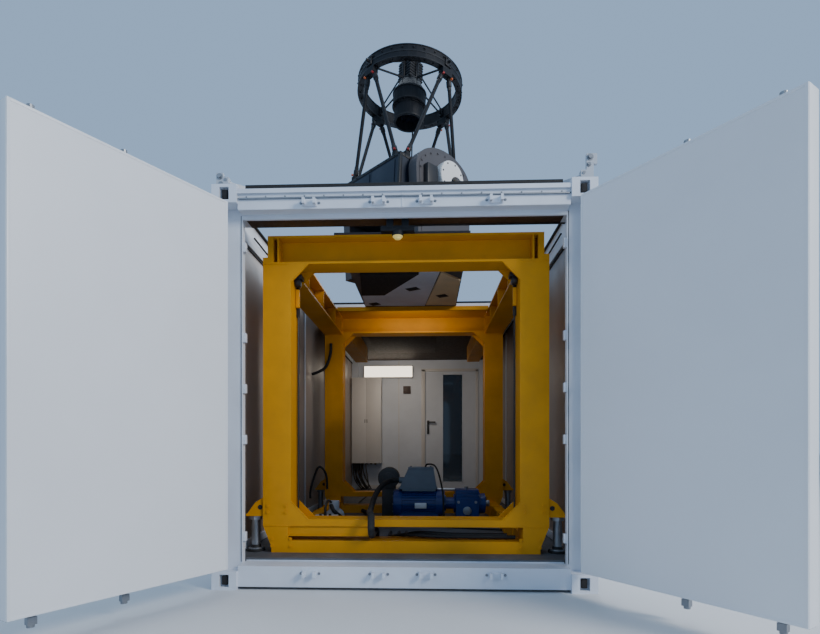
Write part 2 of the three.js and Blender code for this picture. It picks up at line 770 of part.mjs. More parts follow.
// Spider: four open vanes, deep at the middle, that hold the secondary camera on the axis
const CAMERA_BLOCK = 76;
const BLOCK_Z = [RING_RISE + 70, RING_RISE + 250];
const VANE_END = RING_R - RING_WIDTH - GAP;
function vaneOutline(from, to, edge) {
  const slope = (x, low, high) => low + ((high - low) * (x - CAMERA_BLOCK)) / (VANE_END - CAMERA_BLOCK);
  const under = (x) => slope(x, BLOCK_Z[0] + 6, RING_RISE - 24) + edge;
  const over = (x) => slope(x, BLOCK_Z[1] - 6, RING_RISE + 36) - edge;
  return shapeOf([
    [from, under(from)],
    [to, under(to)],
    [to, over(to)],
    [from, over(from)],
  ]);
}
function spiderVane(turn) {
  return cut(
    standing(vaneOutline(CAMERA_BLOCK - 6, VANE_END, 0), [-4, 4]),
    standing(vaneOutline(CAMERA_BLOCK + 20, VANE_END - 34, 15), [-10, 10]),
  ).rotateZ(turn);
}
// The camera: a square block, a shoulder, the body and its hood, open underneath
const CAMERA_R = 150;
const HOOD = { r: 132, wall: 12, low: 705, high: 850 };
const SHOULDER = { low: 965, high: 1085, top: 88 };
const shoulder = new THREE.CylinderGeometry(SHOULDER.top, CAMERA_R, SHOULDER.high - SHOULDER.low, 28)
  .rotateX(Math.PI / 2)
  .translate(0, 0, (SHOULDER.low + SHOULDER.high) / 2);
const between = (radius, low, high) => rod(radius, high - low, "z", [0, 0, (low + high) / 2], 28);
place(
  "spider_and_camera",
  cut(
    join(
      ...[0, 1, 2, 3].map((i) => spiderVane((i * Math.PI) / 2)),
      box([-CAMERA_BLOCK, CAMERA_BLOCK], [-CAMERA_BLOCK, CAMERA_BLOCK], BLOCK_Z),
      shoulder,
      between(CAMERA_R, HOOD.high - 10, SHOULDER.low),
      between(HOOD.r, HOOD.low, HOOD.high),
    ),
    between(HOOD.r - HOOD.wall, HOOD.low - 10, HOOD.high - 60),
  ),
  black(),
  tube,
);

// Machinery on the floor and fittings on the end wall
const floorZ = FLOOR_TOP + GAP;
const motor = { y: 1750, z: 375, r: 120, left: -165, right: 320 };
place(
  "motor",
  join(
    rod(motor.r, motor.right - motor.left, "x", [(motor.left + motor.right) / 2, motor.y, motor.z], 28),
    rod(motor.r + 14, 60, "x", [motor.left + 50, motor.y, motor.z], 28),
    rod(motor.r + 14, 60, "x", [motor.right - 50, motor.y, motor.z], 28),
    box([motor.left + 60, motor.right - 60], [motor.y - 95, motor.y + 95], [floorZ, motor.z]),
  ),
  blue(),
);
const boxFoot = motor.z + motor.r + GAP;
const boxHip = motor.z + motor.r + 19; // clear of the motor's end shields
const gland = { x: [-112, -60], y: motor.y - 5, z: 594, r: 31 };
place(
  "terminal_box",
  join(
    standing(shapeOf([
      [-80, boxFoot],
      [236, boxFoot],
      [236, boxHip],
      [250, boxHip],
      [215, 716],
      [-20, 716],
      [-112, boxHip],
      [-80, boxHip],
    ]), [motor.y - 90, motor.y + 90]),
    rod(gland.r, gland.x[1] - gland.x[0], "x", [(gland.x[0] + gland.x[1]) / 2, gland.y, gland.z], 20),
  ),
  paint(0x3f4a57, 0.6),
);
place(
  "gearbox",
  join(
    rod(55, 110, "x", [motor.right + GAP + 55, motor.y, motor.z], 20),
    box([425, 640], [motor.y - 115, motor.y + 115], [floorZ, 510]),
    rod(95, 70, "x", [670, motor.y, motor.z], 20),
  ),
  blue(),
);
place(
  "pump",
  join(
    rod(75, 190, "y", [-700, 1500, floorZ + 95], 20),
    box([-770, -630], [1420, 1580], [floorZ, floorZ + 90]),
  ),
  lightGrey(),
);

// Conduit from the pump along the floor, out through the portal's slot and over its lower beam to the motor
const CONDUIT_R = 24;
const CONDUIT_LOW = floorZ + CONDUIT_R + 1.5;
const SLOT_Z = 304;
const conduitRoute = [
  [-630 + GAP, 1500, CONDUIT_LOW],
  [-590, 1500, CONDUIT_LOW],
  [-520, 1460, CONDUIT_LOW],
  [-450, 1330, CONDUIT_LOW],
  [-380, 1130, CONDUIT_LOW],
  [-310, 930, CONDUIT_LOW + 1],
  [-255, 780, CONDUIT_LOW + 12],
  [-230, 680, CONDUIT_LOW + 48],
  [-224, 590, SLOT_Z - 8],
  [-224, 500, SLOT_Z],
  [-224, 370, SLOT_Z],
  [-223, 308, SLOT_Z + 2],
  [-222, 262, SLOT_Z + 24],
  [-222, 243, SLOT_Z + 70],
  [-224, 262, SLOT_Z + 120],
  [-230, 312, SLOT_Z + 141],
  [-245, 400, SLOT_Z + 138],
  [-262, 520, SLOT_Z + 132],
  [-278, 650, SLOT_Z + 118],
  [-298, 850, SLOT_Z + 98],
  [-314, 1080, SLOT_Z + 92],
  [-322, 1260, SLOT_Z + 112],
  [-316, 1400, SLOT_Z + 160],
  [-290, 1520, SLOT_Z + 218],
  [-245, 1630, SLOT_Z + 266],
  [-195, 1722, gland.z - 4],
  [-145, gland.y, gland.z],
  [gland.x[0] - 2 * GAP, gland.y, gland.z],
];
const conduitLine = new THREE.CatmullRomCurve3(conduitRoute.map((at) => new THREE.Vector3(...at)));
const conduitSection = new THREE.Shape().absarc(0, 0, CONDUIT_R, 0, 2 * Math.PI, false);
place(
  "conduit",
  new THREE.ExtrudeGeometry(conduitSection, {
    steps: 78,
    curveSegments: 10,
    bevelEnabled: false,
    extrudePath: conduitLine,
  }),
  rubber(),
);
place("control_box", box([-790, -610], [1000, 1180], [floorZ, 330]), white());
const cabinetZ = [650, 2110];
place(
  "wall_cabinet",
  join(
    box([-1040, -640], [END_IN - 250, END_IN - GAP], cabinetZ),
    box([-1150, -640], [END_IN - 250, BACK - CASTING.depth - 8], cabinetZ),
  ),
  white(),
);
place("end_lamp", box([-950, -110], [END_IN - 60, END_IN - GAP], [2140, 2330]), paint(0xfff3df, 0.4));

// The origin is in the middle of the footprint, on the ground
const reach = new THREE.Box3().setFromObject(station, true);
const middle = reach.getCenter(new THREE.Vector3());
station.position.set(-middle.x, -middle.y, -reach.min.z);

export default station;
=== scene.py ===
# A container observatory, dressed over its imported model: paint, seals, hinges, bolts, cables,
# machinery and the truss telescope, with a camera where the photograph was taken
import itertools
import json
import math

import bmesh
import bpy
from mathutils import Matrix, Vector


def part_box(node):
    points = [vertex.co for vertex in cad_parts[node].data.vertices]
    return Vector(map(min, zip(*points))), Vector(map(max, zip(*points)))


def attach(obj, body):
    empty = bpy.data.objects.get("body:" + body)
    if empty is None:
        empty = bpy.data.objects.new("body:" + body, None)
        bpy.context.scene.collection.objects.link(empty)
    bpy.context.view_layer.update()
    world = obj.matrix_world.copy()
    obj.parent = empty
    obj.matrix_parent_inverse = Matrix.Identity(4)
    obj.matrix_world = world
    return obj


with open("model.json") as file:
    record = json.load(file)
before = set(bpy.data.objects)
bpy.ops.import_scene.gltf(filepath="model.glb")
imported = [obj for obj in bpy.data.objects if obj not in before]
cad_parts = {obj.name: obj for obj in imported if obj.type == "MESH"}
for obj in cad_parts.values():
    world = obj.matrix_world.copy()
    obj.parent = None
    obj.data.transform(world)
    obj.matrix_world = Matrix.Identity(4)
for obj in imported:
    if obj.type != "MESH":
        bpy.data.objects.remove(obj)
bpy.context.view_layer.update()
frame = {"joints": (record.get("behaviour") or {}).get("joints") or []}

# Middle of the container, and the plane of its front castings
HINGE_LUGS = 0.044  # how far the posts' hinge lugs stand out before that plane
FACE_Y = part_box("left_front_post")[0][1] + HINGE_LUGS
MIDDLE_X = (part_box("floor")[0][0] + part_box("floor")[1][0]) / 2


def room_box(name):
    """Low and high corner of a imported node, from the middle of the door face, on the ground."""
    return [
        [round(value - start, 4) for value, start in zip(corner, (MIDDLE_X, FACE_Y, 0))]
        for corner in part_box(name)
    ]


# Camera: height, distance to the face, place to the right of the middle and turn to the left
EYE_HEIGHT = 0.913
EYE_DISTANCE = 3.30
EYE_RIGHT = 0.16
EYE_TURN = math.radians(2.2)
FOCAL_PIXELS = 525
IMAGE_WIDTH = 820
IMAGE_HEIGHT = 634
HORIZON_ROW = 447
MIDDLE_COLUMN = 407.4
SENSOR = 36


def make_camera():
    """The level camera that took the photograph, shifted to its horizon."""
    data = bpy.data.cameras.new("photo_camera")
    data.sensor_width = SENSOR
    data.lens = SENSOR * FOCAL_PIXELS / IMAGE_WIDTH
    data.shift_x = (IMAGE_WIDTH / 2 - MIDDLE_COLUMN) / IMAGE_WIDTH
    data.shift_y = (HORIZON_ROW - IMAGE_HEIGHT / 2) / IMAGE_WIDTH
    data.clip_end = 200
    camera = bpy.data.objects.new("photo_camera", data)
    camera.location = (MIDDLE_X + EYE_RIGHT, FACE_Y - EYE_DISTANCE, EYE_HEIGHT)
    camera.rotation_euler = (math.pi / 2, 0, EYE_TURN)
    bpy.context.collection.objects.link(camera)
    bpy.context.scene.camera = camera


# Materials
def noise(tree, scale, detail=4.0):
    texture = tree.nodes.new("ShaderNodeTexNoise")
    texture.inputs["Scale"].default_value = scale
    texture.inputs["Detail"].default_value = detail
    texture.inputs["Roughness"].default_value = 0.6
    coords = tree.nodes.new("ShaderNodeTexCoord").outputs["Object"]
    tree.links.new(coords, texture.inputs["Vector"])
    return texture.outputs["Fac"]


def ramp(tree, value, low, high, stops=(0.3, 0.7)):
    """A colour that runs from low to high while the value runs between the stops."""
    node = tree.nodes.new("ShaderNodeValToRGB")
    for element, stop, colour in zip(node.color_ramp.elements, stops, (low, high)):
        element.position = stop
        element.color = (*colour, 1)
    tree.links.new(value, node.inputs["Fac"])
    return node.outputs["Color"]


def clouded(name, scale, low, high, stops=(0.3, 0.7)):
    """A material with soft clouds between two colours, and its node tree, shader and tone."""
    material = bpy.data.materials.new(name)
    material.use_nodes = True
    tree = material.node_tree
    shader = tree.nodes["Principled BSDF"]
    tone = ramp(tree, noise(tree, scale), low, high, stops)
    tree.links.new(tone, shader.inputs["Base Color"])
    return material, tree, shader, tone


def shade(colour, factor):
    return tuple(min(1.0, c * factor) for c in colour)


def bump(tree, shader, height, strength, distance=0.0006):
    node = tree.nodes.new("ShaderNodeBump")
    node.inputs["Strength"].default_value = strength
    node.inputs["Distance"].default_value = distance
    tree.links.new(height, node.inputs["Height"])
    tree.links.new(node.outputs["Normal"], shader.inputs["Normal"])


def paint(name, colour, rough=0.45, metal=0.0, mottle=0.06, scale=2.2, grain=90, orange_peel=0.12,
          specular=0.5):
    """Sprayed paint: soft clouds in its colour, fine orange peel and an uneven gloss."""
    material, tree, shader, _ = clouded(name, scale, shade(colour, 1 - mottle), shade(colour, 1 + mottle))
    gloss = ramp(tree, noise(tree, scale * 4), (rough * 0.85,) * 3, (rough * 1.15,) * 3)
    tree.links.new(gloss, shader.inputs["Roughness"])
    shader.inputs["Metallic"].default_value = metal
    shader.inputs["Specular IOR Level"].default_value = specular
    bump(tree, shader, noise(tree, grain, 2), orange_peel)
    return material


def give(material, *names):
    """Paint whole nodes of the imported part."""
    for name in names:
        for slot in bpy.data.objects[name].material_slots:
            slot.material = material


# Shapes, collected in a bmesh and made into one riding piece
HERE = Matrix.Identity(4)
SIDES = ("left", "right")
SIGNS = (-1, 1)


def add_box(bm, low, high, bevel=0.0, place=HERE):
    middle = (Vector(low) + Vector(high)) / 2
    size = [abs(h - l) for l, h in zip(low, high)]
    made = bmesh.ops.create_cube(bm, size=1)["verts"]
    bmesh.ops.scale(bm, vec=size, verts=made)
    bmesh.ops.translate(bm, vec=middle, verts=made)
    if bevel:
        edges = list({edge for vert in made for edge in vert.link_edges})
        made = bmesh.ops.bevel(
            bm, geom=edges, offset=bevel, segments=2, affect="EDGES", profile=0.6
        )["verts"]
    bmesh.ops.transform(bm, matrix=place, verts=made)


def add_pair(bm, x, y, z, bevel=0.0):
    """A box on the right, from x, y and z as (low, high), and its mirror image on the left."""
    for side in SIGNS:
        add_box(bm, (side * x[0], y[0], z[0]), (side * x[1], y[1], z[1]), bevel)


def add_rim(bm, x, y, z, wide, high, bevel):
    """Four strips round a rectangle in x and z: upright ones that wide, level ones that high."""
    for low in (x[0], x[1] - wide):
        add_box(bm, (low, y[0], z[0]), (low + wide, y[1], z[1]), bevel)
    for low in (z[0], z[1] - high):
        add_box(bm, (x[0], y[0], low), (x[1], y[1], low + high), bevel)


def along(start, end):
    """The frame of a rod: its z axis runs from start to end, about its middle."""
    start, end = Vector(start), Vector(end)
    turn = Vector((0, 0, 1)).rotation_difference(end - start).to_matrix().to_4x4()
    return Matrix.Translation((start + end) / 2) @ turn, (end - start).length


def add_rod(bm, start, end, radius, sides=24, tip=None, bevel=0.0, place=HERE):
    matrix, length = along(start, end)
    made = bmesh.ops.create_cone(
        bm, segments=sides, radius1=radius, radius2=radius if tip is None else tip,
        depth=length, cap_ends=True,
    )["verts"]
    if bevel:
        edges = [e for e in {e for v in made for e in v.link_edges} if len(e.link_faces) == 2
                 and e.link_faces[0].normal.dot(e.link_faces[1].normal) < 0.3]
        made = list({*made, *bmesh.ops.bevel(
            bm, geom=edges, offset=bevel, segments=2, affect="EDGES", profile=0.6
        )["verts"]})
        made = [v for v in made if v.is_valid]
    bmesh.ops.transform(bm, matrix=place @ matrix, verts=made)


def add_round(bm, x, y, z, radius, sides, **rest):
    """A rod along one axis: one of x, y and z is a pair, where the rod starts and where it ends."""
    start, end = ([v[i] if isinstance(v, tuple) else v for v in (x, y, z)] for i in (0, 1))
    add_rod(bm, start, end, radius, sides, **rest)


def add_bolt(bm, at, out, radius, head, place=HERE):
    """A hexagon head on its washer."""
    at, out = Vector(at), Vector(out).normalized()
    add_rod(bm, at, at + out * head * 0.25, radius * 1.5, 16, place=place)
    add_rod(bm, at + out * head * 0.2, at + out * head * 1.25, radius, 6, place=place)


def add_bolts(bm, xs, ys, zs, out, radius, head):
    """Bolts at every mix of the places given along x, y and z."""
    for at in itertools.product(xs, ys, zs):
        add_bolt(bm, at, out, radius, head)


def turns(count, start=0.0):
    """Even turns round a circle; start is a share of the step between two of them."""
    return [2 * math.pi * (k + start) / count for k in range(count)]


def circle(count, radius, start=0.0):
    """Points round a circle as pairs."""
    return [(radius * math.cos(turn), radius * math.sin(turn)) for turn in turns(count, start)]


def turned(at, turn, axis):
    """The place at a point, turned about one of its axes."""
    return Matrix.Translation(at) @ Matrix.Rotation(turn, 4, axis)


def bridge(bm, loops):
    """Bands of faces between each loop of points and the next."""
    for a, b in zip(loops, loops[1:]):
        for i in range(len(a)):
            j = (i + 1) % len(a)
            bm.faces.new((a[i], a[j], b[j], b[i]))


def add_loft(bm, loops):
    """A solid through loops of points, closed at its first and last loop."""
    loops = [[bm.verts.new(point) for point in loop] for loop in loops]
    bridge(bm, loops)
    bm.faces.new(loops[0])
    bm.faces.new(list(reversed(loops[-1])))


def add_tube(bm, points, radius, sides=10):
    """A round tube through points, smoothed by Catmull-Rom, with closed ends."""
    line = smooth_line([Vector(p) for p in points])
    rings = []
    normal = None
    for i, point in enumerate(line):
        ahead = line[min(i + 1, len(line) - 1)] - line[max(i - 1, 0)]
        ahead.normalize()
        if normal is None:
            normal = ahead.orthogonal().normalized()
        normal = (normal - ahead * normal.dot(ahead)).normalized()
        side = ahead.cross(normal)
        rings.append([point + normal * u + side * v for u, v in circle(sides, radius)])
    add_loft(bm, rings)


def smooth_line(points, steps=8):
    """Points of a Catmull-Rom curve through the points given."""
    if len(points) < 3:
        return points
    padded = [points[0], *points, points[-1]]
    line = []
    for a, b, c, d in zip(padded, padded[1:], padded[2:], padded[3:]):
        for k in range(steps):
            t = k / steps
            line.append(0.5 * (
                2 * b + (c - a) * t + (2 * a - 5 * b + 4 * c - d) * t ** 2
                + (3 * b - a - 3 * c + d) * t ** 3
            ))
    return [*line, points[-1]]


def add_plate(bm, outline, thickness, place):
    """A flat plate: its outline in x and z, thickness from y = 0 to the value given."""
    add_loft(bm, [[place @ Vector((x, y, z)) for x, z in outline] for y in (0, thickness)])


def add_slab(bm, outline, low, high):
    """A slab between two heights, its outline in x and y."""
    add_loft(bm, [[(x, y, z) for x, y in outline] for z in (low, high)])


def piece(name, build, material, body, place, smooth_angle=40):
    """One riding piece: build draws it in its own frame, and place sets that frame in the world."""
    bm = bmesh.new()
    build(bm)
    bmesh.ops.transform(bm, matrix=place, verts=bm.verts)
    bmesh.ops.recalc_face_normals(bm, faces=bm.faces)
    mesh = bpy.data.meshes.new(name)
    bm.to_mesh(mesh)
    bm.free()
    mesh.materials.append(material)
    mesh.shade_smooth()
    mesh.set_sharp_from_angle(angle=math.radians(smooth_angle))
    obj = bpy.data.objects.new(name, mesh)
    bpy.context.collection.objects.link(obj)
    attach(obj, body)


def dress(body, place, material, slot, *builders, smooth_angle=40):
    """A piece from each builder, named after it."""
    for build in builders:
        piece(build.__name__, build, material, body, place, smooth_angle)


# Places. In a room piece, positions run from the middle of the door face, on the ground, in metres
ROOM = Matrix.Translation((MIDDLE_X, FACE_Y, 0))
JOINTS = {joint["name"]: joint for joint in frame["joints"]}


def door_frame(name, side):
    """Frame of a cargo door at rest: x from its hinge pin along the leaf, y from outside to inside."""
    pin = Vector(JOINTS[name]["pos_m"])
    turn = math.radians(-JOINTS[name]["range_deg"][0])
    ahead = Vector((-side * math.cos(turn), -math.sin(turn), 0))
    inward = Vector((-side * math.sin(turn), math.cos(turn), 0))
    matrix = Matrix.Identity(4)
    matrix.col[0][:3] = ahead
    matrix.col[1][:3] = inward
    matrix.col[3][:3] = (pin.x, pin.y, 0)
    return matrix


TUBE_LEAN = math.radians(3.5)
ALTITUDE = JOINTS["altitude"]
MOUNT_TURN = math.atan2(-ALTITUDE["axis"][0], ALTITUDE["axis"][1])
AXIS = Matrix.Translation((*ALTITUDE["pos_m"][:2], 0))
MOUNT = AXIS @ Matrix.Rotation(MOUNT_TURN, 4, "Z")
TUBE = turned(ALTITUDE["pos_m"], MOUNT_TURN, "Z") @ Matrix.Rotation(TUBE_LEAN, 4, "Y")


# Finishes
WHITE = paint("shell_paint", (0.62, 0.67, 0.75), 0.42)
DOOR_WHITE = paint("door_paint", (0.72, 0.745, 0.78), 0.38, mottle=0.03, scale=0.9)
YELLOW = paint("frame_paint", (0.62, 0.27, 0.002), 0.50, mottle=0.12, scale=3.0, specular=0.25)
GREY = paint("mount_paint", (0.060, 0.058, 0.066), 0.50, mottle=0.12)
BRACKET = paint("bracket_paint", (0.42, 0.46, 0.52), 0.4)
BLACK = paint("telescope_paint", (0.006, 0.008, 0.012), 0.62, mottle=0.2, specular=0.3)
# Painted shade and painted reflection: black telescope paint tinted blue for the sky reflected on it
SKY_TINTED_BLACK = paint("cover_paint", (0.004, 0.012, 0.028), 0.5, mottle=0.15)
BLUE = paint("motor_paint", (0.003, 0.022, 0.155), 0.40, mottle=0.15, scale=8)
BOX_GREY = paint("terminal_paint", (0.10, 0.13, 0.17), 0.5, mottle=0.1, scale=8)
CABINET = paint("cabinet_paint", (0.62, 0.61, 0.60), 0.4, mottle=0.04)
FLOOR_PAINT = paint("floor_paint", (0.085, 0.092, 0.105), 0.6, mottle=0.25, scale=5, orange_peel=0.4)
RUBBER = paint("seal", (0.012, 0.012, 0.013), 0.75, mottle=0.2, scale=20, orange_peel=0.3)
PLASTIC = paint("black_plastic", (0.014, 0.014, 0.016), 0.45, mottle=0.1, scale=20)
STEEL = paint("zinc_steel", (0.27, 0.29, 0.32), 0.42, metal=0.7, mottle=0.15, scale=14)
RED = paint("fitting_red", (0.30, 0.02, 0.02), 0.4, metal=0.3, mottle=0.1, scale=20)


DARK_GREY = paint("drum_paint", (0.045, 0.047, 0.050), 0.55, mottle=0.15, scale=8)
DRIVE_WHITE = paint("drive_paint", (0.72, 0.73, 0.73), 0.4)


def lit(name, colour, strength):
    """A diffuser lit from behind."""
    material, tree, shader, tone = clouded(name, 6, shade(colour, 0.93), colour, (0.2, 0.8))
    tree.links.new(tone, shader.inputs["Emission Color"])
    shader.inputs["Emission Strength"].default_value = strength
    return material


def clear_glass():
    dark, pale = (0.008, 0.012, 0.017), (0.014, 0.020, 0.028)
    material, _, shader, _ = clouded("door_glass", 1.2, dark, pale, (0.35, 0.65))
    shader.inputs["Roughness"].default_value = 0.06
    shader.inputs["Alpha"].default_value = 0.86
    return material


def both(*parts):
    """The parts' names on the left and on the right."""
    return [f"{side}_{part}" for side in SIDES for part in parts]


LAMP = lit("lamp_glow", (1.0, 0.90, 0.74), 2.2)
GLASS = clear_glass()
give(DRIVE_WHITE, "drive_cover")
give(WHITE, "door_header", "door_sill", "rear_roof", "end_wall_left", "end_wall_right",
     "end_wall_over_door", "entry_door", *both("front_post", "rear_post", "side_wall", "top_rail"))
give(DOOR_WHITE, *both("cargo_door"))
give(FLOOR_PAINT, "floor")
give(YELLOW, "front_portal", "rear_portal",
     *both("frame_top_beam", "frame_bottom_beam", "ceiling_beam"))
give(STEEL, "azimuth_ring", *both("front_jack", "rear_jack", "inner_lock_bar", "outer_lock_bar"))
give(BRACKET, *both("roof_bracket"), "pump")
give(RUBBER, "bay_seal", "conduit")
# The mirror box in black paint tinted blue: painted sky reflection and shade
give(SKY_TINTED_BLACK, "mirror_box")
give(BLACK, "header_bracket", "top_ring", "spider_and_camera",
     *[f"truss_pair_{i}" for i in range(1, 5)])
give(GREY, "mount_plate", "fork")
give(BLUE, "motor", "gearbox")
give(BOX_GREY, "terminal_box")
give(CABINET, "wall_cabinet", "control_box")
give(GLASS, "entry_glass")
give(PLASTIC, "entry_handle")
give(LAMP, "end_lamp")


# Cargo doors. A leaf at rest, from its hinge pin: along the leaf, outside to inside, and up
LEAF_X = (0.012, 1.17)
LEAF_Y = (0.030, 0.130)
LEAF_Z = (0.158, 2.427)
HINGE_Z = (0.330, 0.880, 1.290, 1.700, 2.250)
LOCK_BARS = (0.590, 1.030)
GUIDE_Z = (0.420, 0.950, 1.620, 2.160)
STRIP = 0.008


def leaf_border(bm, width, y, inset=0.0):
    """Four strips round the leaf's face, between the two y values."""
    x0, x1 = LEAF_X[0] + inset, LEAF_X[1] - inset
    z0, z1 = LEAF_Z[0] + inset, LEAF_Z[1] - inset
    add_box(bm, (x0, y[0], z0), (x0 + width, y[1], z1), 0.001)
    add_box(bm, (x1 - width, y[0], z0), (x1, y[1], z1), 0.001)
    add_box(bm, (x0 + width, y[0], z0), (x1 - width, y[1], z0 + width), 0.001)
    add_box(bm, (x0 + width, y[0], z1 - width), (x1 - width, y[1], z1), 0.001)


def door_gasket(bm):
    """Three rubber lips round the leaf's edge."""
    for y in (0.052, 0.078, 0.104):
        for z in (LEAF_Z[0] - 0.005, LEAF_Z[1] - 0.003):
            add_box(bm, (LEAF_X[0] + 0.004, y, z), (LEAF_X[1] - 0.004, y + STRIP, z + STRIP))
        add_box(bm, (LEAF_X[0] - 0.003, y, LEAF_Z[0]), (LEAF_X[0] + 0.004, y + STRIP, LEAF_Z[1]))


def door_outer_skin(bm):
    """Pressed outer skin: level swages between the lock bars and the frame of the leaf."""
    y = LEAF_Y[0]
    leaf_border(bm, 0.045, (y - 0.004, y + 0.001), 0.002)
    count = 7
    pitch = (LEAF_Z[1] - LEAF_Z[0] - 0.16) / count
    x = (LEAF_X[0] + 0.075, LEAF_X[1] - 0.075)
    for i in range(count):
        z = LEAF_Z[0] + 0.08 + (i + 0.22) * pitch
        add_box(bm, (x[0], y - 0.005, z), (x[1], y + 0.001, z + pitch * 0.56), 0.0035)


def door_blades(bm):
    """Hinge blades across the leaf's edge, each with its three bolts."""
    for z in HINGE_Z:
        add_box(bm, (0.020, -0.013, z - 0.046), (0.170, -0.009, z + 0.046), 0.0015)
    add_bolts(bm, (0.060, 0.100, 0.145), (-0.013,), HINGE_Z, (0, -1, 0), 0.009, 0.006)


def inner_trim(bm):
    """A thin edging round the inner face and down the free edge."""
    y = LEAF_Y[1]
    leaf_border(bm, 0.013, (y - 0.001, y + 0.0018), 0.0)
    add_box(bm, (LEAF_X[1] - 0.001, 0.036, LEAF_Z[0]), (LEAF_X[1] + 0.0015, 0.126, LEAF_Z[1]), 0.001)


def bar_fittings(bm):
    """Cam ends, guide bolts and the hook that holds each lock bar's handle."""
    for bar in LOCK_BARS:
        bolt_z = [z + dz for z in GUIDE_Z for dz in (-0.018, 0.018)]
        add_bolts(bm, (bar - 0.030, bar + 0.030), (0.005,), bolt_z, (0, -1, 0), 0.006, 0.005)
        hook = bar - 0.250
        add_box(bm, (hook - 0.020, 0.016, 1.05), (hook + 0.020, 0.031, 1.15), 0.002)
        add_box(bm, (hook - 0.012, -0.012, 1.112), (hook + 0.012, 0.020, 1.140), 0.003)
        for cam_z in ((0.128, 0.146), (2.436, 2.446)):
            add_round(bm, bar, 0.008, cam_z, 0.024, 18, bevel=0.002)


for side, sign in (("left", -1), ("right", 1)):
    leaf = door_frame(f"{side}_door_hinge", sign)
    for name, build, material, slot in (
        ("door_gasket", door_gasket, RUBBER, "seal_rubber"),
        ("door_skin", door_outer_skin, DOOR_WHITE, "door_white"),
        ("door_blades", door_blades, WHITE, "shell_white"),
        ("door_trim", inner_trim, DOOR_WHITE, "door_white"),
        ("bar_fittings", bar_fittings, STEEL, "bar_steel"),
    ):
        piece(f"{side}_{name}", build, material, f"{side}_door", leaf)


# Container: header, sill, corners and walls
DOORWAY = 1.055  # half its width
JAMB_Z = (0.16, 2.43)  # foot and head of the trim down the posts
SINK = 0.0005  # how deep trim reaches into the wall it lies on
FLOOR = room_box("floor")[1][2] + SINK
TRIM_FOOT = 0.176  # where trim on the walls starts, just over the floor
END_INSIDE = room_box("end_wall_left")[0][1] + SINK
END_OUTSIDE = room_box("end_wall_left")[1][1] - SINK
POST_LOW, POST_HIGH = room_box("left_rear_post")
WALL_Y = (0.165, POST_LOW[1])  # how far the linings of the side walls run
CASTING = (0.162, 0.178, 0.118)  # corner casting; the three below are middles
CASTING_X = -POST_LOW[0] - CASTING[0] / 2
CASTING_Y = (CASTING[1] / 2, POST_HIGH[1] - CASTING[1] / 2)
CASTING_Z = (CASTING[2] / 2, POST_HIGH[2] - CASTING[2] / 2)
KEEPERS_X = (-0.59, -0.15, 0.15, 0.59)
DARK_WOOD = paint("ceiling_board", (0.034, 0.016, 0.007), 0.65, mottle=0.25, scale=6, orange_peel=0.3)
# Painted shade: the white lining of the side walls, darkened to a warm grey
LINING_PAINTED_SHADE = paint("wall_lining", (0.33, 0.28, 0.25), 0.42, mottle=0.06, scale=1.4)
# Painted shade: near-black for the shade in holes, bores and under the mount
SHADOW = paint("recess_dark", (0.010, 0.010, 0.012), 0.8, mottle=0.1, scale=20)
PALE_GREY = paint("plate_paint", (0.52, 0.56, 0.66), 0.5, mottle=0.12, scale=4)
BROWN = paint("alarm_case", (0.050, 0.026, 0.022), 0.5, mottle=0.1, scale=20)
# Painted light: a lighter copy of the plate paint, yellowed by the frame's light reflected on it
LIT_PLATE_PAINT = paint("panel_paint", (0.66, 0.52, 0.32), 0.5, mottle=0.12, scale=4)


def across(bm, y, z, bevel=0.001):
    """A strip over the whole width of the doorway."""
    add_box(bm, (-DOORWAY, y[0], z[0]), (DOORWAY, y[1], z[1]), bevel)


def header_details(bm):
    """Gutter, rivets and the bolts of the keepers that the lock bars turn into."""
    add_box(bm, (-1.05, 0.008, 2.497), (1.05, 0.023, 2.503), 0.001)
    bolt_x = [x + dx for x in KEEPERS_X for dx in (-0.058, 0.058)]
    add_bolts(bm, bolt_x, (0.022,), (0.106, 2.468), (0, -1, 0), 0.006, 0.005)
    for i in range(17):
        x = -1.0 + i * 0.125
        add_round(bm, x, (0.022, 0.0195), 2.515, 0.005, 10)


def header_lip(bm):
    """Edging round the doorway: lip and underside of the header, edge of the sill and of the posts."""
    across(bm, (0.104, 0.124), (2.405, 2.437))
    across(bm, (0.023, 0.106), (2.4325, 2.4352), 0)
    add_box(bm, (-0.004, 0.019, 2.437), (0.004, 0.0225, 2.53), 0.001)
    across(bm, (0.1775, 0.183), (0.1495, 0.158))
    add_pair(bm, (1.053, 1.061), (0.104, 0.112), JAMB_Z, 0.001)


def header_underside(bm):
    """Dark board under the header, behind its lip."""
    across(bm, (0.125, 0.298), (2.4315, 2.4348))


def frame_seals(bm):
    """Bulb seals where the doors close, and the joint under the roof seal."""
    across(bm, (0.016, 0.0225), (2.503, 2.508))
    across(bm, (0.0995, 0.1045), (2.4365, 2.446))
    across(bm, (0.018, 0.024), (0.012, 0.017))
    add_pair(bm, (1.058, 1.066), (0.1048, 0.1085), JAMB_Z, 0.001)
    for y in (0.19, 0.202):
        add_box(bm, (-1.16, y, 2.6005), (1.16, y + 0.005, 2.6035), 0.001)
    for x in (1.156, 1.180):
        add_pair(bm, (x, x + 0.005), (0.22, 2.80), (2.6005, 2.6035), 0.001)


def casting_hollow_shade(bm):
    """Painted shade: dark boxes that stand for the shade deep in the handling holes."""
    for side in SIGNS:
        x = side * CASTING_X
        edge = side * 1.205
        for z in CASTING_Z:
            add_box(bm, (x - 0.020, 0.012, z - 0.030), (x + 0.020, 0.035, z + 0.030), 0.008)
            add_box(bm, (x - 0.024, 6.024, z - 0.037), (x + 0.024, 6.046, z + 0.037), 0.008)
            for y in CASTING_Y:
                add_box(bm, (edge - 0.018, y - 0.024, z - 0.037), (edge + 0.004, y + 0.024, z + 0.037), 0.008)


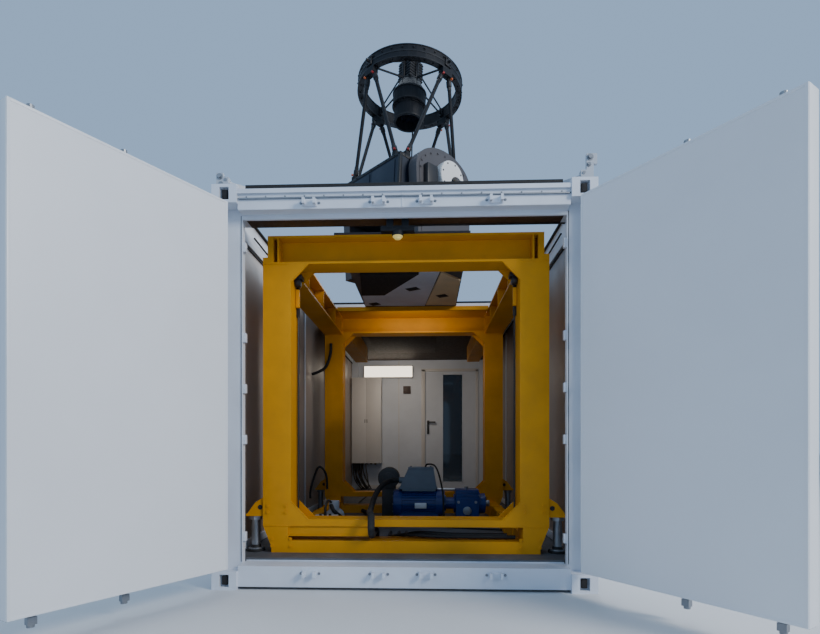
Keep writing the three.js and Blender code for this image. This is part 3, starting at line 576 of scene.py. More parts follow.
def post_catches(bm):
    """Small catches on the posts' inner edges, where the doors latch."""
    for side in SIGNS:
        for z in (0.323, 0.963, 1.298, 1.634, 2.23):
            x = side * 1.048
            add_box(bm, (x - 0.011, 0.112, z - 0.030), (x + 0.011, 0.146, z + 0.030), 0.002)
            add_bolt(bm, (x, 0.112, z), (0, -1, 0), 0.005, 0.004)


def wall_linings(bm):
    """Smooth panels on the inner faces of the side walls, their white darkened to a warm grey as painted
    shade.
    """
    add_pair(bm, (1.1655, 1.1715), WALL_Y, (0.175, 2.372))


def lining_strips(bm):
    """Upper rail, skirting and joint strips on the linings."""
    add_pair(bm, (1.148, 1.168), (0.305, WALL_Y[1]), (2.392, 2.468), 0.002)
    add_pair(bm, (1.151, 1.165), WALL_Y, (TRIM_FOOT, 0.236), 0.002)
    for side in SIGNS:
        x = side * 1.158
        for y in (1.15, 2.30, 3.45, 4.60):
            add_box(bm, (x - 0.001, y - 0.018, 0.24), (x + 0.007, y + 0.018, 2.37), 0.001)


def lining_shadows(bm):
    """Painted shadow: a dark strip in the joint under each upper rail; and a cable along the top."""
    add_pair(bm, (1.157, 1.167), WALL_Y, (2.372, 2.390))
    for side in SIGNS:
        x = side * 1.140
        add_tube(bm, [(x, 0.60, 2.48), (x, 1.4, 2.472), (x, 2.7, 2.48)], 0.007)


def ceiling_boards(bm):
    """Ceiling of the rear room, and a raised board in it."""
    add_box(bm, (-0.66, 3.82, 2.418), (0.28, 5.10, 2.4395), 0.003)
    add_box(bm, (-1.12, 2.83, 2.4365), (1.12, 5.9, 2.4398))


def end_wall_details(bm):
    """Trim round the personnel door and joints of the wall's panels."""
    for x, z in (((0.050, 0.118), (TRIM_FOOT, 2.275)), ((1.002, 1.050), (TRIM_FOOT, 2.275)),
                 ((0.050, 1.050), (2.242, 2.290))):
        add_box(bm, (x[0], 5.944, z[0]), (x[1], 5.9745, z[1]), 0.002)
    add_box(bm, (-0.352, 5.956, TRIM_FOOT), (-0.340, END_INSIDE, 2.43), 0.0015)
    add_box(bm, (-DOORWAY, 5.940, TRIM_FOOT), (0.048, END_INSIDE, 0.236), 0.002)
    for x in (-0.30, -0.05):
        for z in (0.5, 1.1, 1.7, 2.1):
            add_round(bm, x, (5.960, 5.957), z, 0.006, 12)


def entry_beads(bm):
    """Glazing beads on both faces of the personnel door, and its lock plate, in the closed place."""
    for y in ((5.970, 5.977), (6.018, 6.023)):
        add_rim(bm, (0.412, 0.788), y, (0.285, 2.205), 0.020, 0.018, 0.002)
    add_box(bm, (0.130, 5.9735, 1.12), (0.215, 5.976, 1.40), 0.001)


def entry_lock(bm):
    """Lock of the personnel door: knob inside, plate and button outside."""
    add_round(bm, 0.170, (5.967, 5.960), 1.20, 0.016, 20, bevel=0.002)
    add_box(bm, (0.150, 6.020, 1.16), (0.190, 6.026, 1.38), 0.002)
    add_round(bm, 0.170, (6.024, 6.034), 1.35, 0.010, 16)


def lamp_frame(bm):
    """Rim round the lamp on the end wall."""
    add_rim(bm, (-0.958, -0.102), (5.885, END_INSIDE), (2.132, 2.338), STRIP, STRIP, 0.001)


def alarm_box(bm):
    """A small box with a round button, on the end wall."""
    add_box(bm, (-0.268, 5.925, 1.852), (-0.137, 5.9598, 1.985), 0.006)
    add_round(bm, -0.203, (5.926, 5.908), 1.920, 0.030, 20, bevel=0.003)


STATIC = "station"
dress(STATIC, ROOM, STEEL, "bar_steel", header_details)
dress(STATIC, ROOM, WHITE, "shell_white", header_lip, post_catches, lining_strips)
dress(STATIC, ROOM, DARK_WOOD, "seal_rubber", header_underside, ceiling_boards)
dress(STATIC, ROOM, RUBBER, "seal_rubber", frame_seals, lining_shadows)
dress(STATIC, ROOM, SHADOW, "seal_rubber", casting_hollow_shade)
dress(STATIC, ROOM, LINING_PAINTED_SHADE, "shell_white", wall_linings)
dress(STATIC, ROOM, CABINET, "shell_white", end_wall_details)
dress("rear_entry", ROOM, WHITE, "shell_white", entry_beads)
dress("rear_entry", ROOM, PLASTIC, "handle_black", entry_lock)
dress(STATIC, ROOM, CABINET, "cabinet_white", lamp_frame)
dress(STATIC, ROOM, BROWN, "handle_black", alarm_box)


# Yellow frame
PORTAL_DEPTH = 0.200
FRAME_FACES = (room_box("front_portal")[0][1], room_box("rear_portal")[1][1] - PORTAL_DEPTH)
JACKS = [
    [(low + high) / 2 for low, high in zip(*room_box(name))][:2] for name in both("front_jack", "rear_jack")
]
PLATE_UNDER = room_box("mount_plate")[0][2] - 0.0001


def frame_plates(bm):
    """Stiffeners in the top beams, gusset rims, foot seams and the cover plate of the front slot."""
    for y in FRAME_FACES:
        for x in (-0.893, 0.893):
            add_box(bm, (x - 0.006, y + 0.002, 2.216), (x + 0.006, y + 0.095, 2.384), 0.0015)
            add_box(bm, (x - 0.006, y + 0.105, 2.216), (x + 0.006, y + 0.198, 2.384), 0.0015)
        for side in SIGNS:
            add_box(bm, (side * 0.812, y - 0.003, 2.198), (side * 0.988, y + 0.004, 2.204), 0.001)
            add_box(bm, (side * 0.805, y - 0.003, 0.354), (side * 0.998, y + 0.004, 0.361), 0.001)
            corner = [(0.800, 2.075), (0.800, 2.199), (0.680, 2.199)]
            foot = [(0.800, 0.530), (0.800, 0.407), (0.680, 0.407)]
            for shape in (corner, foot):
                for a, b in zip(shape[1:], [*shape[2:], shape[0]]):
                    if a[0] == b[0] or a[1] == b[1]:
                        continue
                    add_rod(bm, (side * a[0], y - 0.001, a[1]), (side * b[0], y - 0.001, b[1]),
                            0.003, 8)
        add_box(bm, (-0.820, y - 0.003, 0.357), (0.820, y + 0.003, 0.3605), 0.001)
    add_box(bm, (-0.822, 0.372, 0.292), (-0.245, 0.380, 0.356), 0.002)
    add_box(bm, (-0.822, 0.364, 0.286), (-0.245, 0.384, 0.294), 0.002)


def side_beam_plates(bm):
    """Web stiffeners and end plates of the upper side beams, and sleepers under the lower ones."""
    for y in (0.95, 1.55, 2.15):
        add_pair(bm, (0.803, 0.890), (y - 0.006, y + 0.006), (2.198, 2.362), 0.0015)
    for y in (0.565, 2.592):
        add_pair(bm, (0.792, 1.004), (y - 0.004, y + 0.004), (2.170, 2.400), 0.002)
    for y in (0.80, 1.25, 1.70, 2.15):
        add_pair(bm, (0.815, 0.925), (y - 0.02, y + 0.02), (0.168, 0.308), 0.003)


def lift_strips(bm):
    """Short guide strips on the front posts, under the rollers."""
    add_pair(bm, (0.770, 0.797), (0.475, 0.500), (1.925, 2.055), 0.003)


def lift_rollers(bm):
    """Guide rollers of the lift, with their brackets, inside the front posts."""
    add_pair(bm, (0.742, 0.799), (0.430, 0.510), (2.120, 2.150), 0.003)
    add_pair(bm, (0.775, 0.799), (0.505, 0.520), (1.860, 2.115), 0.003)
    for side in SIGNS:
        x = side * 0.775
        add_round(bm, (x - 0.018, x + 0.018), 0.470, 2.105, 0.036, 24, bevel=0.004)
        add_round(bm, side * 0.786, 0.512, (0.420, 1.870), 0.007, 12)


def frame_bolts(bm):
    """Bolts of the portals' feet, and of the side beams' end plates."""
    for side in SIGNS:
        outer = (side * 0.835, side * 0.965)
        inner = (side * 0.805, side * 0.935)
        add_bolts(bm, outer, FRAME_FACES, (0.455, 0.500), (0, -1, 0), 0.010, 0.008)
        add_bolts(bm, inner, FRAME_FACES, (0.215, 0.265), (0, -1, 0), 0.009, 0.007)
        add_bolts(bm, (side * 0.796,), (0.600, 2.565), (2.22, 2.34), (-side, 0, 0), 0.011, 0.008)


def bracket_bore_shade(bm):
    """Painted shade: thin dark discs that stand for the bores through the jack brackets' gussets."""
    for y, side, dy in itertools.product((0.374, 2.666), SIGNS, (-0.0012, 0.0138, 0.1048, 0.1198)):
        start = Vector((side * 1.024, y + dy, 0.487))
        add_rod(bm, start, start + Vector((0, 0.0014, 0)), 0.017, 20)


def jack_feet(bm):
    """Round rubber feet of the jacks."""
    for x, y in JACKS:
        add_round(bm, x, y, (FLOOR, 0.187), 0.066, 28, bevel=0.004)
        add_round(bm, x, y, (0.187, 0.215), 0.040, 24, tip=0.034)


def jack_threads(bm):
    """Threads of the jacks' screws, and their nuts."""
    for x, y in JACKS:
        for i in range(18):
            z = 0.235 + i * 0.0075
            add_round(bm, x, y, (z, z + 0.0035), 0.0325, 20)
        add_round(bm, x, y, (0.395, 0.420), 0.046, 6)
        add_round(bm, x, y, (0.4415, 0.462), 0.040, 6)


def mount_under_plates(bm):
    """Stiffening plate under the plate that carries the mount."""
    outline = [(-0.476, 1.775), (-0.250, 1.750), (0.096, 1.140), (0.262, 1.140),
               (0.131, 2.190), (-0.490, 2.166)]
    add_slab(bm, outline, 2.388, PLATE_UNDER)


def mount_under_lit_face(bm):
    """The face beside the stiffening plate, in the plate paint made lighter and yellowed: painted light
    reflected from the yellow frame.
    """
    outline = [(0.275, 1.140), (0.450, 1.357), (0.450, 2.168), (0.142, 2.155)]
    add_slab(bm, outline, 2.384, PLATE_UNDER)


def mount_under_shade(bm):
    """Painted shade: dark patches for the oblong openings in the plates, and a dark slab for the shade under
    the mount beside them.
    """
    for x, y, half, z in ((0.022, 1.60, 0.060, 2.3865), (-0.385, 2.10, 0.050, 2.3865),
                          (0.303, 1.82, 0.050, 2.3825)):
        place = turned((x, y, z), math.radians(-28), "Z")
        add_box(bm, (-half, -0.045, 0), (half, 0.045, 0.003), 0.001, place)
    # Dark slab: painted shadow under the fork's base, beside the openings
    outline = [(-0.410, 1.120), (0.085, 1.140), (-0.255, 1.742), (-0.472, 1.742)]
    add_slab(bm, outline, 2.372, PLATE_UNDER)


dress(STATIC, ROOM, YELLOW, "frame_yellow", frame_plates, side_beam_plates, lift_strips, frame_bolts)
dress(STATIC, ROOM, PLASTIC, "handle_black", lift_rollers)
dress(STATIC, ROOM, SHADOW, "seal_rubber", bracket_bore_shade, mount_under_shade)
dress(STATIC, ROOM, RUBBER, "seal_rubber", jack_feet)
dress(STATIC, ROOM, STEEL, "bar_steel", jack_threads)
dress(STATIC, ROOM, PALE_GREY, "mount_grey", mount_under_plates)
dress(STATIC, ROOM, LIT_PLATE_PAINT, "mount_grey", mount_under_lit_face)


# Machinery on the floor, hoses and cables
MOTOR_Y = (room_box("motor")[0][1] + room_box("motor")[1][1]) / 2
MOTOR_Z = 0.375  # height of the motor's and the gearbox's axis
DRUM_X, DRUM_Z = -0.245, 0.590
PUMP_X, PUMP_Z = -0.700, 0.2654
CABINET_LOW, CABINET_HIGH = room_box("wall_cabinet")
CABINET_FACE = (CABINET_LOW[1] - 0.006, CABINET_LOW[1] + SINK)
CABINET_Z = (CABINET_LOW[2] + 0.005, CABINET_HIGH[2] - 0.006)
CONTROL_FACE = room_box("control_box")[0][1] - 0.005


def motor_fins(bm):
    """Cooling fins along the motor, between its end shields, and its feet."""
    for turn in turns(30):
        if -0.45 < math.cos(turn) < 0.45 and math.sin(turn) < 0:
            continue
        place = turned((0.0775, MOTOR_Y, MOTOR_Z), turn, "X")
        add_box(bm, (-0.160, -0.0025, 0.116), (0.160, 0.0025, 0.131), 0.001, place)
    for x in (-0.148, 0.303):
        add_round(bm, (x - 0.012, x + 0.012), MOTOR_Y, MOTOR_Z, 0.128, 40, bevel=0.004)
    for x in (-0.07, 0.225):
        add_box(bm, (x - 0.045, MOTOR_Y - 0.140, FLOOR), (x + 0.045, MOTOR_Y + 0.140, 0.190), 0.004)


def motor_small(bm):
    """Bolts of the motor's feet and of its end shields."""
    y, z = MOTOR_Y, MOTOR_Z
    add_bolts(bm, (-0.07, 0.225), (y - 0.120, y + 0.120), (0.190,), (0, 0, 1), 0.011, 0.009)
    for x, out in ((-0.163, -1), (0.318, 1)):
        for dy, dz in circle(8, 0.105):
            add_bolt(bm, (x, y + dy, z + dz), (out, 0, 0), 0.006, 0.006)


def name_plate(bm):
    """A blank plate on the motor's front."""
    place = Matrix.Translation((0.040, MOTOR_Y - 0.128, MOTOR_Z - 0.012))
    add_box(bm, (0, -0.008, -0.026), (0.110, 0.008, 0.026), 0.002, place)


def terminal_trim(bm):
    """Base flange and lid of the terminal box, with the lid's screws."""
    y = MOTOR_Y
    add_box(bm, (-0.116, y - 0.094, 0.514), (0.254, y + 0.094, 0.526), 0.002)
    add_box(bm, (-0.024, y - 0.094, 0.700), (0.219, y + 0.094, 0.722), 0.005)
    add_bolts(bm, (0.0, 0.19), (y - 0.075, y + 0.075), (0.722,), (0, 0, 1), 0.007, 0.006)


def gearbox_trim(bm):
    """Flanges, foot and upper ribs of the gearbox."""
    y, z = MOTOR_Y, MOTOR_Z
    for x, r in ((0.322, 0.075), (0.410, 0.088), (0.642, 0.106), (0.698, 0.070)):
        add_round(bm, (x, x + 0.014), y, z, r, 36, bevel=0.003)
    add_box(bm, (0.418, y - 0.123, FLOOR), (0.647, y + 0.123, 0.192), 0.004)
    for dz in (0.045, 0.075, 0.105):
        add_box(bm, (0.421, y - 0.119, z + dz), (0.644, y + 0.119, z + dz + 0.008), 0.002)


def gearbox_grey(bm):
    """Bolts, cover and shaft end of the gearbox, and its breather."""
    y, z = MOTOR_Y, MOTOR_Z
    add_bolts(bm, (0.450, 0.612), (y - 0.115,), (z - 0.13, z + 0.02), (0, -1, 0), 0.009, 0.008)
    add_round(bm, 0.531, (y - 0.115, y - 0.128), z - 0.06, 0.040, 28, bevel=0.003)
    add_round(bm, (0.705, 0.750), y, z, 0.030, 20, bevel=0.003)
    add_round(bm, 0.531, y, (0.510, 0.535), 0.020, 6)


def dark_drum(bm):
    """A round damper behind the motor, on its foot."""
    add_round(bm, DRUM_X, (2.13, 2.30), DRUM_Z, 0.112, 40, bevel=0.008)
    add_round(bm, DRUM_X, (2.11, 2.135), DRUM_Z, 0.060, 32, bevel=0.004)
    add_box(bm, (DRUM_X - 0.070, 2.15, FLOOR), (DRUM_X + 0.070, 2.29, 0.500), 0.006)


def thick_hoses(bm):
    """Hoses along the floor, at the pump and at the left post."""
    add_tube(bm, [(-0.620, 1.10, 0.197), (-0.500, 1.30, 0.196), (-0.420, 1.75, 0.196),
                  (-0.470, 2.30, 0.196), (-0.560, 2.52, 0.205)], 0.022, 14)
    add_tube(bm, [(-0.700, 1.36, 0.390), (-0.640, 1.25, 0.340), (-0.520, 1.50, 0.205),
                  (-0.330, 1.62, 0.196), (-0.18, 1.70, 0.200)], 0.018, 12)
    add_tube(bm, [(-0.930, 2.590, 2.080), (-0.935, 2.578, 1.95), (-0.985, 2.58, 1.82),
                  (-1.060, 2.60, 1.77), (-1.150, 2.62, 1.74)], 0.016, 10)
    add_tube(bm, [(-1.100, 2.30, 0.36), (-1.095, 2.30, 0.46), (-1.065, 2.30, 0.57), (-1.016, 2.30, 0.69),
                  (-0.965, 2.30, 0.68), (-0.925, 2.30, 0.60), (-0.915, 2.29, 0.46)], 0.012, 10)
    for x, z in ((-0.150, 0.276), (-0.080, 0.290), (-0.020, 0.275)):
        add_tube(bm, [(x, 1.15, 0.190), (x + 0.02, 0.80, 0.215), (x + 0.16, 0.52, z),
                      (x + 0.42, 0.430, z + 0.004), (x + 0.80, 0.445, z)], 0.013, 10)


def thin_cables(bm):
    """Cables from the wall cabinet, the terminal box and the lamp under the header."""
    add_tube(bm, [(-0.905, 5.75, 0.652), (-0.900, 5.72, 0.56), (-0.860, 5.55, 0.42),
                  (-0.800, 5.20, 0.30), (-0.760, 4.80, 0.185), (-0.74, 3.6, 0.180),
                  (-0.66, 2.95, 0.180)], 0.010, 8)
    add_tube(bm, [(0.14, 1.70, 0.723), (0.16, 1.66, 0.75), (0.24, 1.63, 0.72), (0.30, 1.62, 0.50),
                  (0.32, 1.60, 0.20), (0.40, 1.50, 0.180), (0.90, 1.35, 0.182)], 0.008, 8)
    add_tube(bm, [(-0.04, 0.185, 2.345), (-0.04, 0.26, 2.40), (0.12, 0.285, 2.425),
                  (0.60, 0.288, 2.426), (1.10, 0.288, 2.426)], 0.005, 8)


def cable_bundle(bm):
    """Bundle of cables that hangs under the cabinet."""
    for k in range(9):
        x = -1.130 + 0.020 * k
        y = 5.735 + 0.022 * (k % 3)
        sag = 0.03 * math.sin(k * 1.7)
        add_tube(bm, [(x, y, 0.655), (x + 0.01, y - 0.01, 0.52), (x + 0.03 + sag, y - 0.03, 0.38),
                      (x + 0.08 + sag, y - 0.02, 0.28), (x + 0.16, y - 0.04, 0.185)], 0.0105, 8)


def cabinet_trim(bm):
    """Door gaps and lower channel of the wall cabinet."""
    front, back = CABINET_FACE
    foot, head = CABINET_Z
    for left, right in ((-1.146, -0.905), (-0.895, -0.645)):
        add_box(bm, (left, front, foot), (right, back, head), 0.002)
    add_box(bm, (-1.150, 5.706, 0.634), (-0.640, 5.955, 0.651), 0.002)


def cabinet_black(bm):
    """Handles of the wall cabinet and cable glands under it."""
    for x in (-0.918, -0.882):
        add_box(bm, (x - 0.005, CABINET_FACE[0] - 0.006, 1.33), (x + 0.005, 5.705, 1.39), 0.002)
    for k in range(6):
        add_round(bm, -1.12 + k * 0.075, 5.80, (0.634, 0.612), 0.018, 6)


def control_trim(bm):
    """Front panel and lid of the control box."""
    add_box(bm, (-0.785, 0.994, 0.186), (-0.615, 1.0005, 0.322), 0.004)
    add_box(bm, (-0.795, CONTROL_FACE, 0.322), (-0.605, 1.185, 0.334), 0.003)


def control_dark(bm):
    """Knobs and cable glands of the control box, and its lead to the pump."""
    add_round(bm, -0.735, (CONTROL_FACE, 0.982), 0.262, 0.014, 20, bevel=0.002)
    add_round(bm, -0.665, (CONTROL_FACE, 0.984), 0.262, 0.010, 20)
    for x in (-0.74, -0.70, -0.66):
        add_round(bm, x, 1.09, (0.334, 0.352), 0.013, 6)
    add_tube(bm, [(-0.70, 1.09, 0.345), (-0.70, 1.10, 0.41), (-0.70, 1.22, 0.45), (-0.70, 1.35, 0.42)],
             0.010, 10)


def pump_trim(bm):
    """Clamp bands, end cap, neck and foot of the pump."""
    for y in (1.402, 1.590):
        add_round(bm, PUMP_X, (y, y + 0.010), PUMP_Z, 0.083, 36, bevel=0.002)
    add_round(bm, PUMP_X, (1.40, 1.375), PUMP_Z, 0.040, 28, bevel=0.003)
    add_round(bm, PUMP_X, 1.50, (0.335, 0.420), 0.048, 28, bevel=0.004)
    add_box(bm, (PUMP_X - 0.085, 1.405, FLOOR), (PUMP_X + 0.085, 1.595, 0.184), 0.003)


def dome_lamp(bm):
    """Small lamp under the bracket of the header."""
    add_round(bm, -0.038, 0.180, (2.312, 2.306), 0.034, 28)
    add_round(bm, -0.038, 0.180, (2.307, 2.292), 0.028, 28, tip=0.019)


AMBER = lit("amber_glow", (0.80, 0.62, 0.18), 0.35)
PLATE = paint("blank_plate", (0.62, 0.63, 0.64), 0.35, metal=0.2, mottle=0.04, scale=12)
dress(STATIC, ROOM, BLUE, "motor_blue", motor_fins, gearbox_trim)
dress(STATIC, ROOM, STEEL, "bar_steel", motor_small, gearbox_grey)
dress(STATIC, ROOM, PLATE, "bar_steel", name_plate)
dress(STATIC, ROOM, BOX_GREY, "box_grey", terminal_trim)
dress(STATIC, ROOM, DARK_GREY, "box_grey", dark_drum)
dress(STATIC, ROOM, RUBBER, "seal_rubber", thick_hoses, thin_cables, cable_bundle, smooth_angle=60)
dress(STATIC, ROOM, CABINET, "cabinet_white", cabinet_trim, control_trim)
dress(STATIC, ROOM, PLASTIC, "handle_black", cabinet_black, control_dark)
dress(STATIC, ROOM, BRACKET, "bracket_grey", pump_trim)
dress(STATIC, ROOM, AMBER, "lamp_panel", dome_lamp)


# Telescope: joints, rims, mirror, camera and covers. In the tube's frame z runs along the tube,
# from the altitude axis
RING_MIDDLE = 1.008
HEAD_Z = 0.9226  # heads of the truss tubes under the ring, and how far out they stand
HEAD_R = 0.448
FOOT_Z = 0.1344  # their feet on the mirror box
BOX_HALF = (0.395, 0.370)
BOX_LOW, BOX_HIGH = -0.230, 0.108
SIDES_OUT = ((1, 0), (0, 1), (-1, 0), (0, -1))
MIRROR_GLASS = paint("mirror_face", (0.78, 0.80, 0.82), 0.07, metal=1.0, mottle=0.01, orange_peel=0.0)
LENS = paint("lens_face", (0.010, 0.012, 0.022), 0.06, mottle=0.3, scale=9, orange_peel=0.0)
ORANGE = paint("fitting_orange", (0.50, 0.10, 0.02), 0.4, metal=0.2, mottle=0.1, scale=20)
SATIN_BLACK = paint("spider_paint", (0.012, 0.013, 0.016), 0.45, mottle=0.2, scale=12, specular=0.35)


def add_ring(bm, outer, inner, low, high, sides=64, place=HERE):
    """A flat ring about the z axis of its place."""
    loops = [
        [bm.verts.new(place @ Vector((x, y, z))) for x, y in circle(sides, radius)]
        for radius, z in ((outer, low), (outer, high), (inner, high), (inner, low))
    ]
    bridge(bm, [*loops, loops[0]])


def struts():
    """Foot and head of each truss tube, in the tube's own frame."""
    for out_x, out_y in SIDES_OUT:
        along_x, along_y = abs(out_y), abs(out_x)
        out = BOX_HALF[0] * abs(out_x) + BOX_HALF[1] * abs(out_y) - 0.034
        sideways = BOX_HALF[0] * along_x + BOX_HALF[1] * along_y - 0.094
        for side in SIGNS:
            foot = Vector((out * out_x + side * sideways * along_x,
                           out * out_y + side * sideways * along_y, FOOT_Z))
            head = Vector((HEAD_R * out_x + side * 0.038 * along_x,
                           HEAD_R * out_y + side * 0.038 * along_y, HEAD_Z))
            yield foot, head


def strut_collars(bm):
    """Collars and nuts at both ends of the truss tubes."""
    for foot, head in struts():
        way = (head - foot).normalized()
        add_rod(bm, foot + way * 0.030, foot + way * 0.075, 0.023, 20, bevel=0.003)
        add_rod(bm, head - way * 0.080, head - way * 0.035, 0.023, 20, bevel=0.003)
        add_rod(bm, foot + way * 0.075, foot + way * 0.100, 0.019, 6)
        add_rod(bm, head - way * 0.105, head - way * 0.080, 0.019, 6)


def strut_fittings(bm, colour_turn):
    """Coloured studs at the ends of every second truss tube."""
    for i, (foot, head) in enumerate(struts()):
        if i % 2 != colour_turn:
            continue
        way = (head - foot).normalized()
        for middle in (head - way * 0.030, foot + way * 0.034):
            out = Vector((middle.x, middle.y, 0)).normalized()
            add_rod(bm, middle + out * 0.020, middle + out * 0.040, 0.009, 12, bevel=0.002)


def ring_rims(bm):
    """Rims above and below the top ring, and a band round it."""
    for z in (RING_MIDDLE - 0.055, RING_MIDDLE + 0.047):
        add_ring(bm, 0.4755, 0.4200, z, z + 0.008, 96)
    add_ring(bm, 0.4735, 0.470, RING_MIDDLE - 0.006, RING_MIDDLE + 0.006, 96)


def ring_bolts(bm):
    """Bolts under the ring, round its rim and at the truss heads."""
    for x, y in circle(32, 1.0, 0.5):
        out = Vector((x, y, 0))
        add_bolt(bm, out * 0.448 + Vector((0, 0, RING_MIDDLE - 0.055)), (0, 0, -1), 0.006, 0.006)
        add_bolt(bm, out * 0.474 + Vector((0, 0, RING_MIDDLE + 0.028)), out, 0.006, 0.006)
    for out_x, out_y in SIDES_OUT:
        out = Vector((out_x, out_y, 0))
        side = Vector((-out_y, out_x, 0))
        for k, z in itertools.product(SIGNS, (RING_MIDDLE - 0.015, RING_MIDDLE + 0.028)):
            add_bolt(bm, out * 0.482 + side * 0.020 * k + Vector((0, 0, z)), out, 0.006, 0.005)


def spider_clamps(bm):
    """Clamps that draw each vane tight, outside and inside the ring."""
    for k, (out_x, out_y) in enumerate(SIDES_OUT):
        place = Matrix.Rotation(math.atan2(out_y, out_x), 4, "Z")
        add_box(bm, (0.470, -0.034, RING_MIDDLE - 0.034), (0.483, 0.034, RING_MIDDLE + 0.044), 0.004, place)
        add_box(bm, (0.404, -0.016, RING_MIDDLE - 0.030), (0.425, 0.016, RING_MIDDLE + 0.042), 0.003, place)
        add_box(bm, (0.074, -0.014, RING_MIDDLE + 0.074), (0.092, 0.014, RING_MIDDLE + 0.244), 0.003, place)
        add_round(bm, (0.483, 0.508), 0, RING_MIDDLE + 0.005, 0.012, 6, place=place)


def camera_details(bm):
    """Ribs, flanges and connectors of the camera at the top of the tube."""
    half = 0.081
    for i in range(7):
        z = 1.085 + 0.025 * i
        add_box(bm, (-half, -half, z), (half, half, z + 0.008), 0.002)
    for z, r in ((1.074, 0.096), (0.958, 0.155), (0.845, 0.155), (0.828, 0.138), (0.706, 0.137)):
        add_ring(bm, r, r - 0.020, z, z + 0.012, 48)
    for x, y in circle(12, 0.143):
        add_bolt(bm, (x, y, 0.840), (0, 0, -1), 0.006, 0.006)
    for x in (-0.040, 0.0, 0.040):
        add_round(bm, x, 0.03, (1.258, 1.282), 0.013, 20, bevel=0.002)
    add_box(bm, (-0.050, -0.060, 1.257), (0.050, -0.020, 1.275), 0.003)


def camera_lens(bm):
    """Front glass of the camera, facing the main mirror."""
    add_round(bm, 0, 0, (0.786, 0.791), 0.1195, 48)


def camera_cable(bm):
    """From the camera over a vane and down the truss to the mirror box."""
    add_tube(bm, [(0.04, 0.03, 1.28), (0.06, 0.05, 1.31), (0.12, 0.10, 1.24), (0.22, 0.20, 1.13),
                  (0.305, 0.275, 1.072), (0.340, 0.318, 1.058), (0.347, 0.327, 0.98),
                  (0.350, 0.330, 0.86), (0.345, 0.318, 0.60), (0.335, 0.300, 0.30),
                  (0.330, 0.290, 0.115)], 0.007, 8)


def mirror_details(bm):
    """Rim of the mirror's well, and edge and corner strips of the box."""
    add_ring(bm, 0.345, 0.322, BOX_HIGH, BOX_HIGH + 0.012, 96)
    add_ring(bm, 0.330, 0.300, -0.030, -0.014, 96)
    x, y = BOX_HALF
    for side, z in itertools.product(SIGNS, (BOX_LOW - 0.002, BOX_HIGH - 0.024)):
        add_box(bm, (side * x - 0.005, -y, z), (side * x + 0.005, y, z + 0.026), 0.003)
        add_box(bm, (-x, side * y - 0.005, z), (x, side * y + 0.005, z + 0.026), 0.003)
    for sx, sy in itertools.product(SIGNS, SIGNS):
        add_box(bm, (sx * (x - 0.022), sy * (y - 0.022), BOX_LOW),
                (sx * (x + 0.005), sy * (y + 0.005), BOX_HIGH), 0.003)


def mirror_panels(bm):
    """Raised panels on the box's open faces, and its fan openings underneath."""
    x = BOX_HALF[0]
    for k in SIGNS:
        add_pair(bm, (x, x + 0.006), (k * 0.018, k * 0.310), (BOX_LOW + 0.040, BOX_HIGH - 0.040), 0.003)
    for sx, sy in itertools.product(SIGNS, SIGNS):
        place = Matrix.Translation((sx * 0.20, sy * 0.17, BOX_LOW))
        add_ring(bm, 0.085, 0.070, -0.008, 0.001, 40, place)
        add_ring(bm, 0.050, 0.038, -0.006, 0.001, 32, place)
        add_box(bm, (-0.080, -0.004, -0.007), (0.080, 0.004, 0.0), place=place)
        add_box(bm, (-0.004, -0.080, -0.007), (0.004, 0.080, 0.0), place=place)


def mirror_screws(bm):
    """Screws along the upper and lower edges of the mirror box."""
    x, y = BOX_HALF
    heights = (BOX_LOW + 0.011, BOX_HIGH - 0.011)
    row = [-0.300 + 0.100 * k for k in range(7)]
    wide_row = [1.15 * u for u in row]
    for side in SIGNS:
        add_bolts(bm, (side * (x + 0.005),), row, heights, (side, 0, 0), 0.005, 0.004)
        add_bolts(bm, wide_row, (side * (y + 0.005),), heights, (0, side, 0), 0.005, 0.004)


def mirror_face(bm):
    """The main mirror: a shallow dish in its well."""
    profile = ((0.310, -0.0415), (0.310, -0.012), (0.24, -0.019), (0.16, -0.026), (0.08, -0.030))
    add_loft(bm, [[(x, y, z) for x, y in circle(72, radius)] for radius, z in profile])


ARM_FACE = 0.493  # outer faces of the fork's arms
ALTITUDE_Z = ALTITUDE["pos_m"][2]
COVER = {"x": 0.020, "z": ALTITUDE_Z - 0.015, "r": 0.135, "face": -0.5634}


def arm_outline(inset, steps=24):
    """Outline of a fork arm, with its elliptic head, drawn in by the inset."""
    foot, half, rise = 0.300 - inset, 0.330 - inset, 0.225 - inset
    turns = [math.pi * k / steps for k in range(steps + 1)]
    head = [(half * math.cos(turn), ALTITUDE_Z + rise * math.sin(turn)) for turn in turns]
    return [(-foot, 2.56 + inset), (foot, 2.56 + inset), *head]


def arm_panels(bm):
    """Raised panels on the fork's arms, and the rim of the far bearing."""
    add_plate(bm, arm_outline(0.032), -0.004, Matrix.Translation((0, -ARM_FACE, 0)))
    add_plate(bm, arm_outline(0.032), 0.004, Matrix.Translation((0, ARM_FACE, 0)))
    place = turned((0, ARM_FACE + 0.003, ALTITUDE_Z), -math.pi / 2, "X")
    add_ring(bm, 0.185, 0.140, 0.0, 0.012, place=place)


def arm_bolts(bm):
    """Bolts round the arms' panels, on the fork's base and on the bearing's cap."""
    for sign in SIGNS:
        y = sign * (ARM_FACE + 0.004)
        for x, z in arm_outline(0.046, 10):
            add_bolt(bm, (x, y, z), (0, sign, 0), 0.007, 0.006)
        add_bolts(bm, (-0.265, 0.265), (y,), (2.75, 2.95), (0, sign, 0), 0.007, 0.006)
    for x, y in circle(28, 0.405, 0.5):
        add_bolt(bm, (x, y, 2.478), (0, 0, 1), 0.010, 0.010)
    for x, dz in circle(12, 0.163):
        add_bolt(bm, (x, ARM_FACE + 0.015, ALTITUDE_Z + dz), (0, 1, 0), 0.007, 0.006)


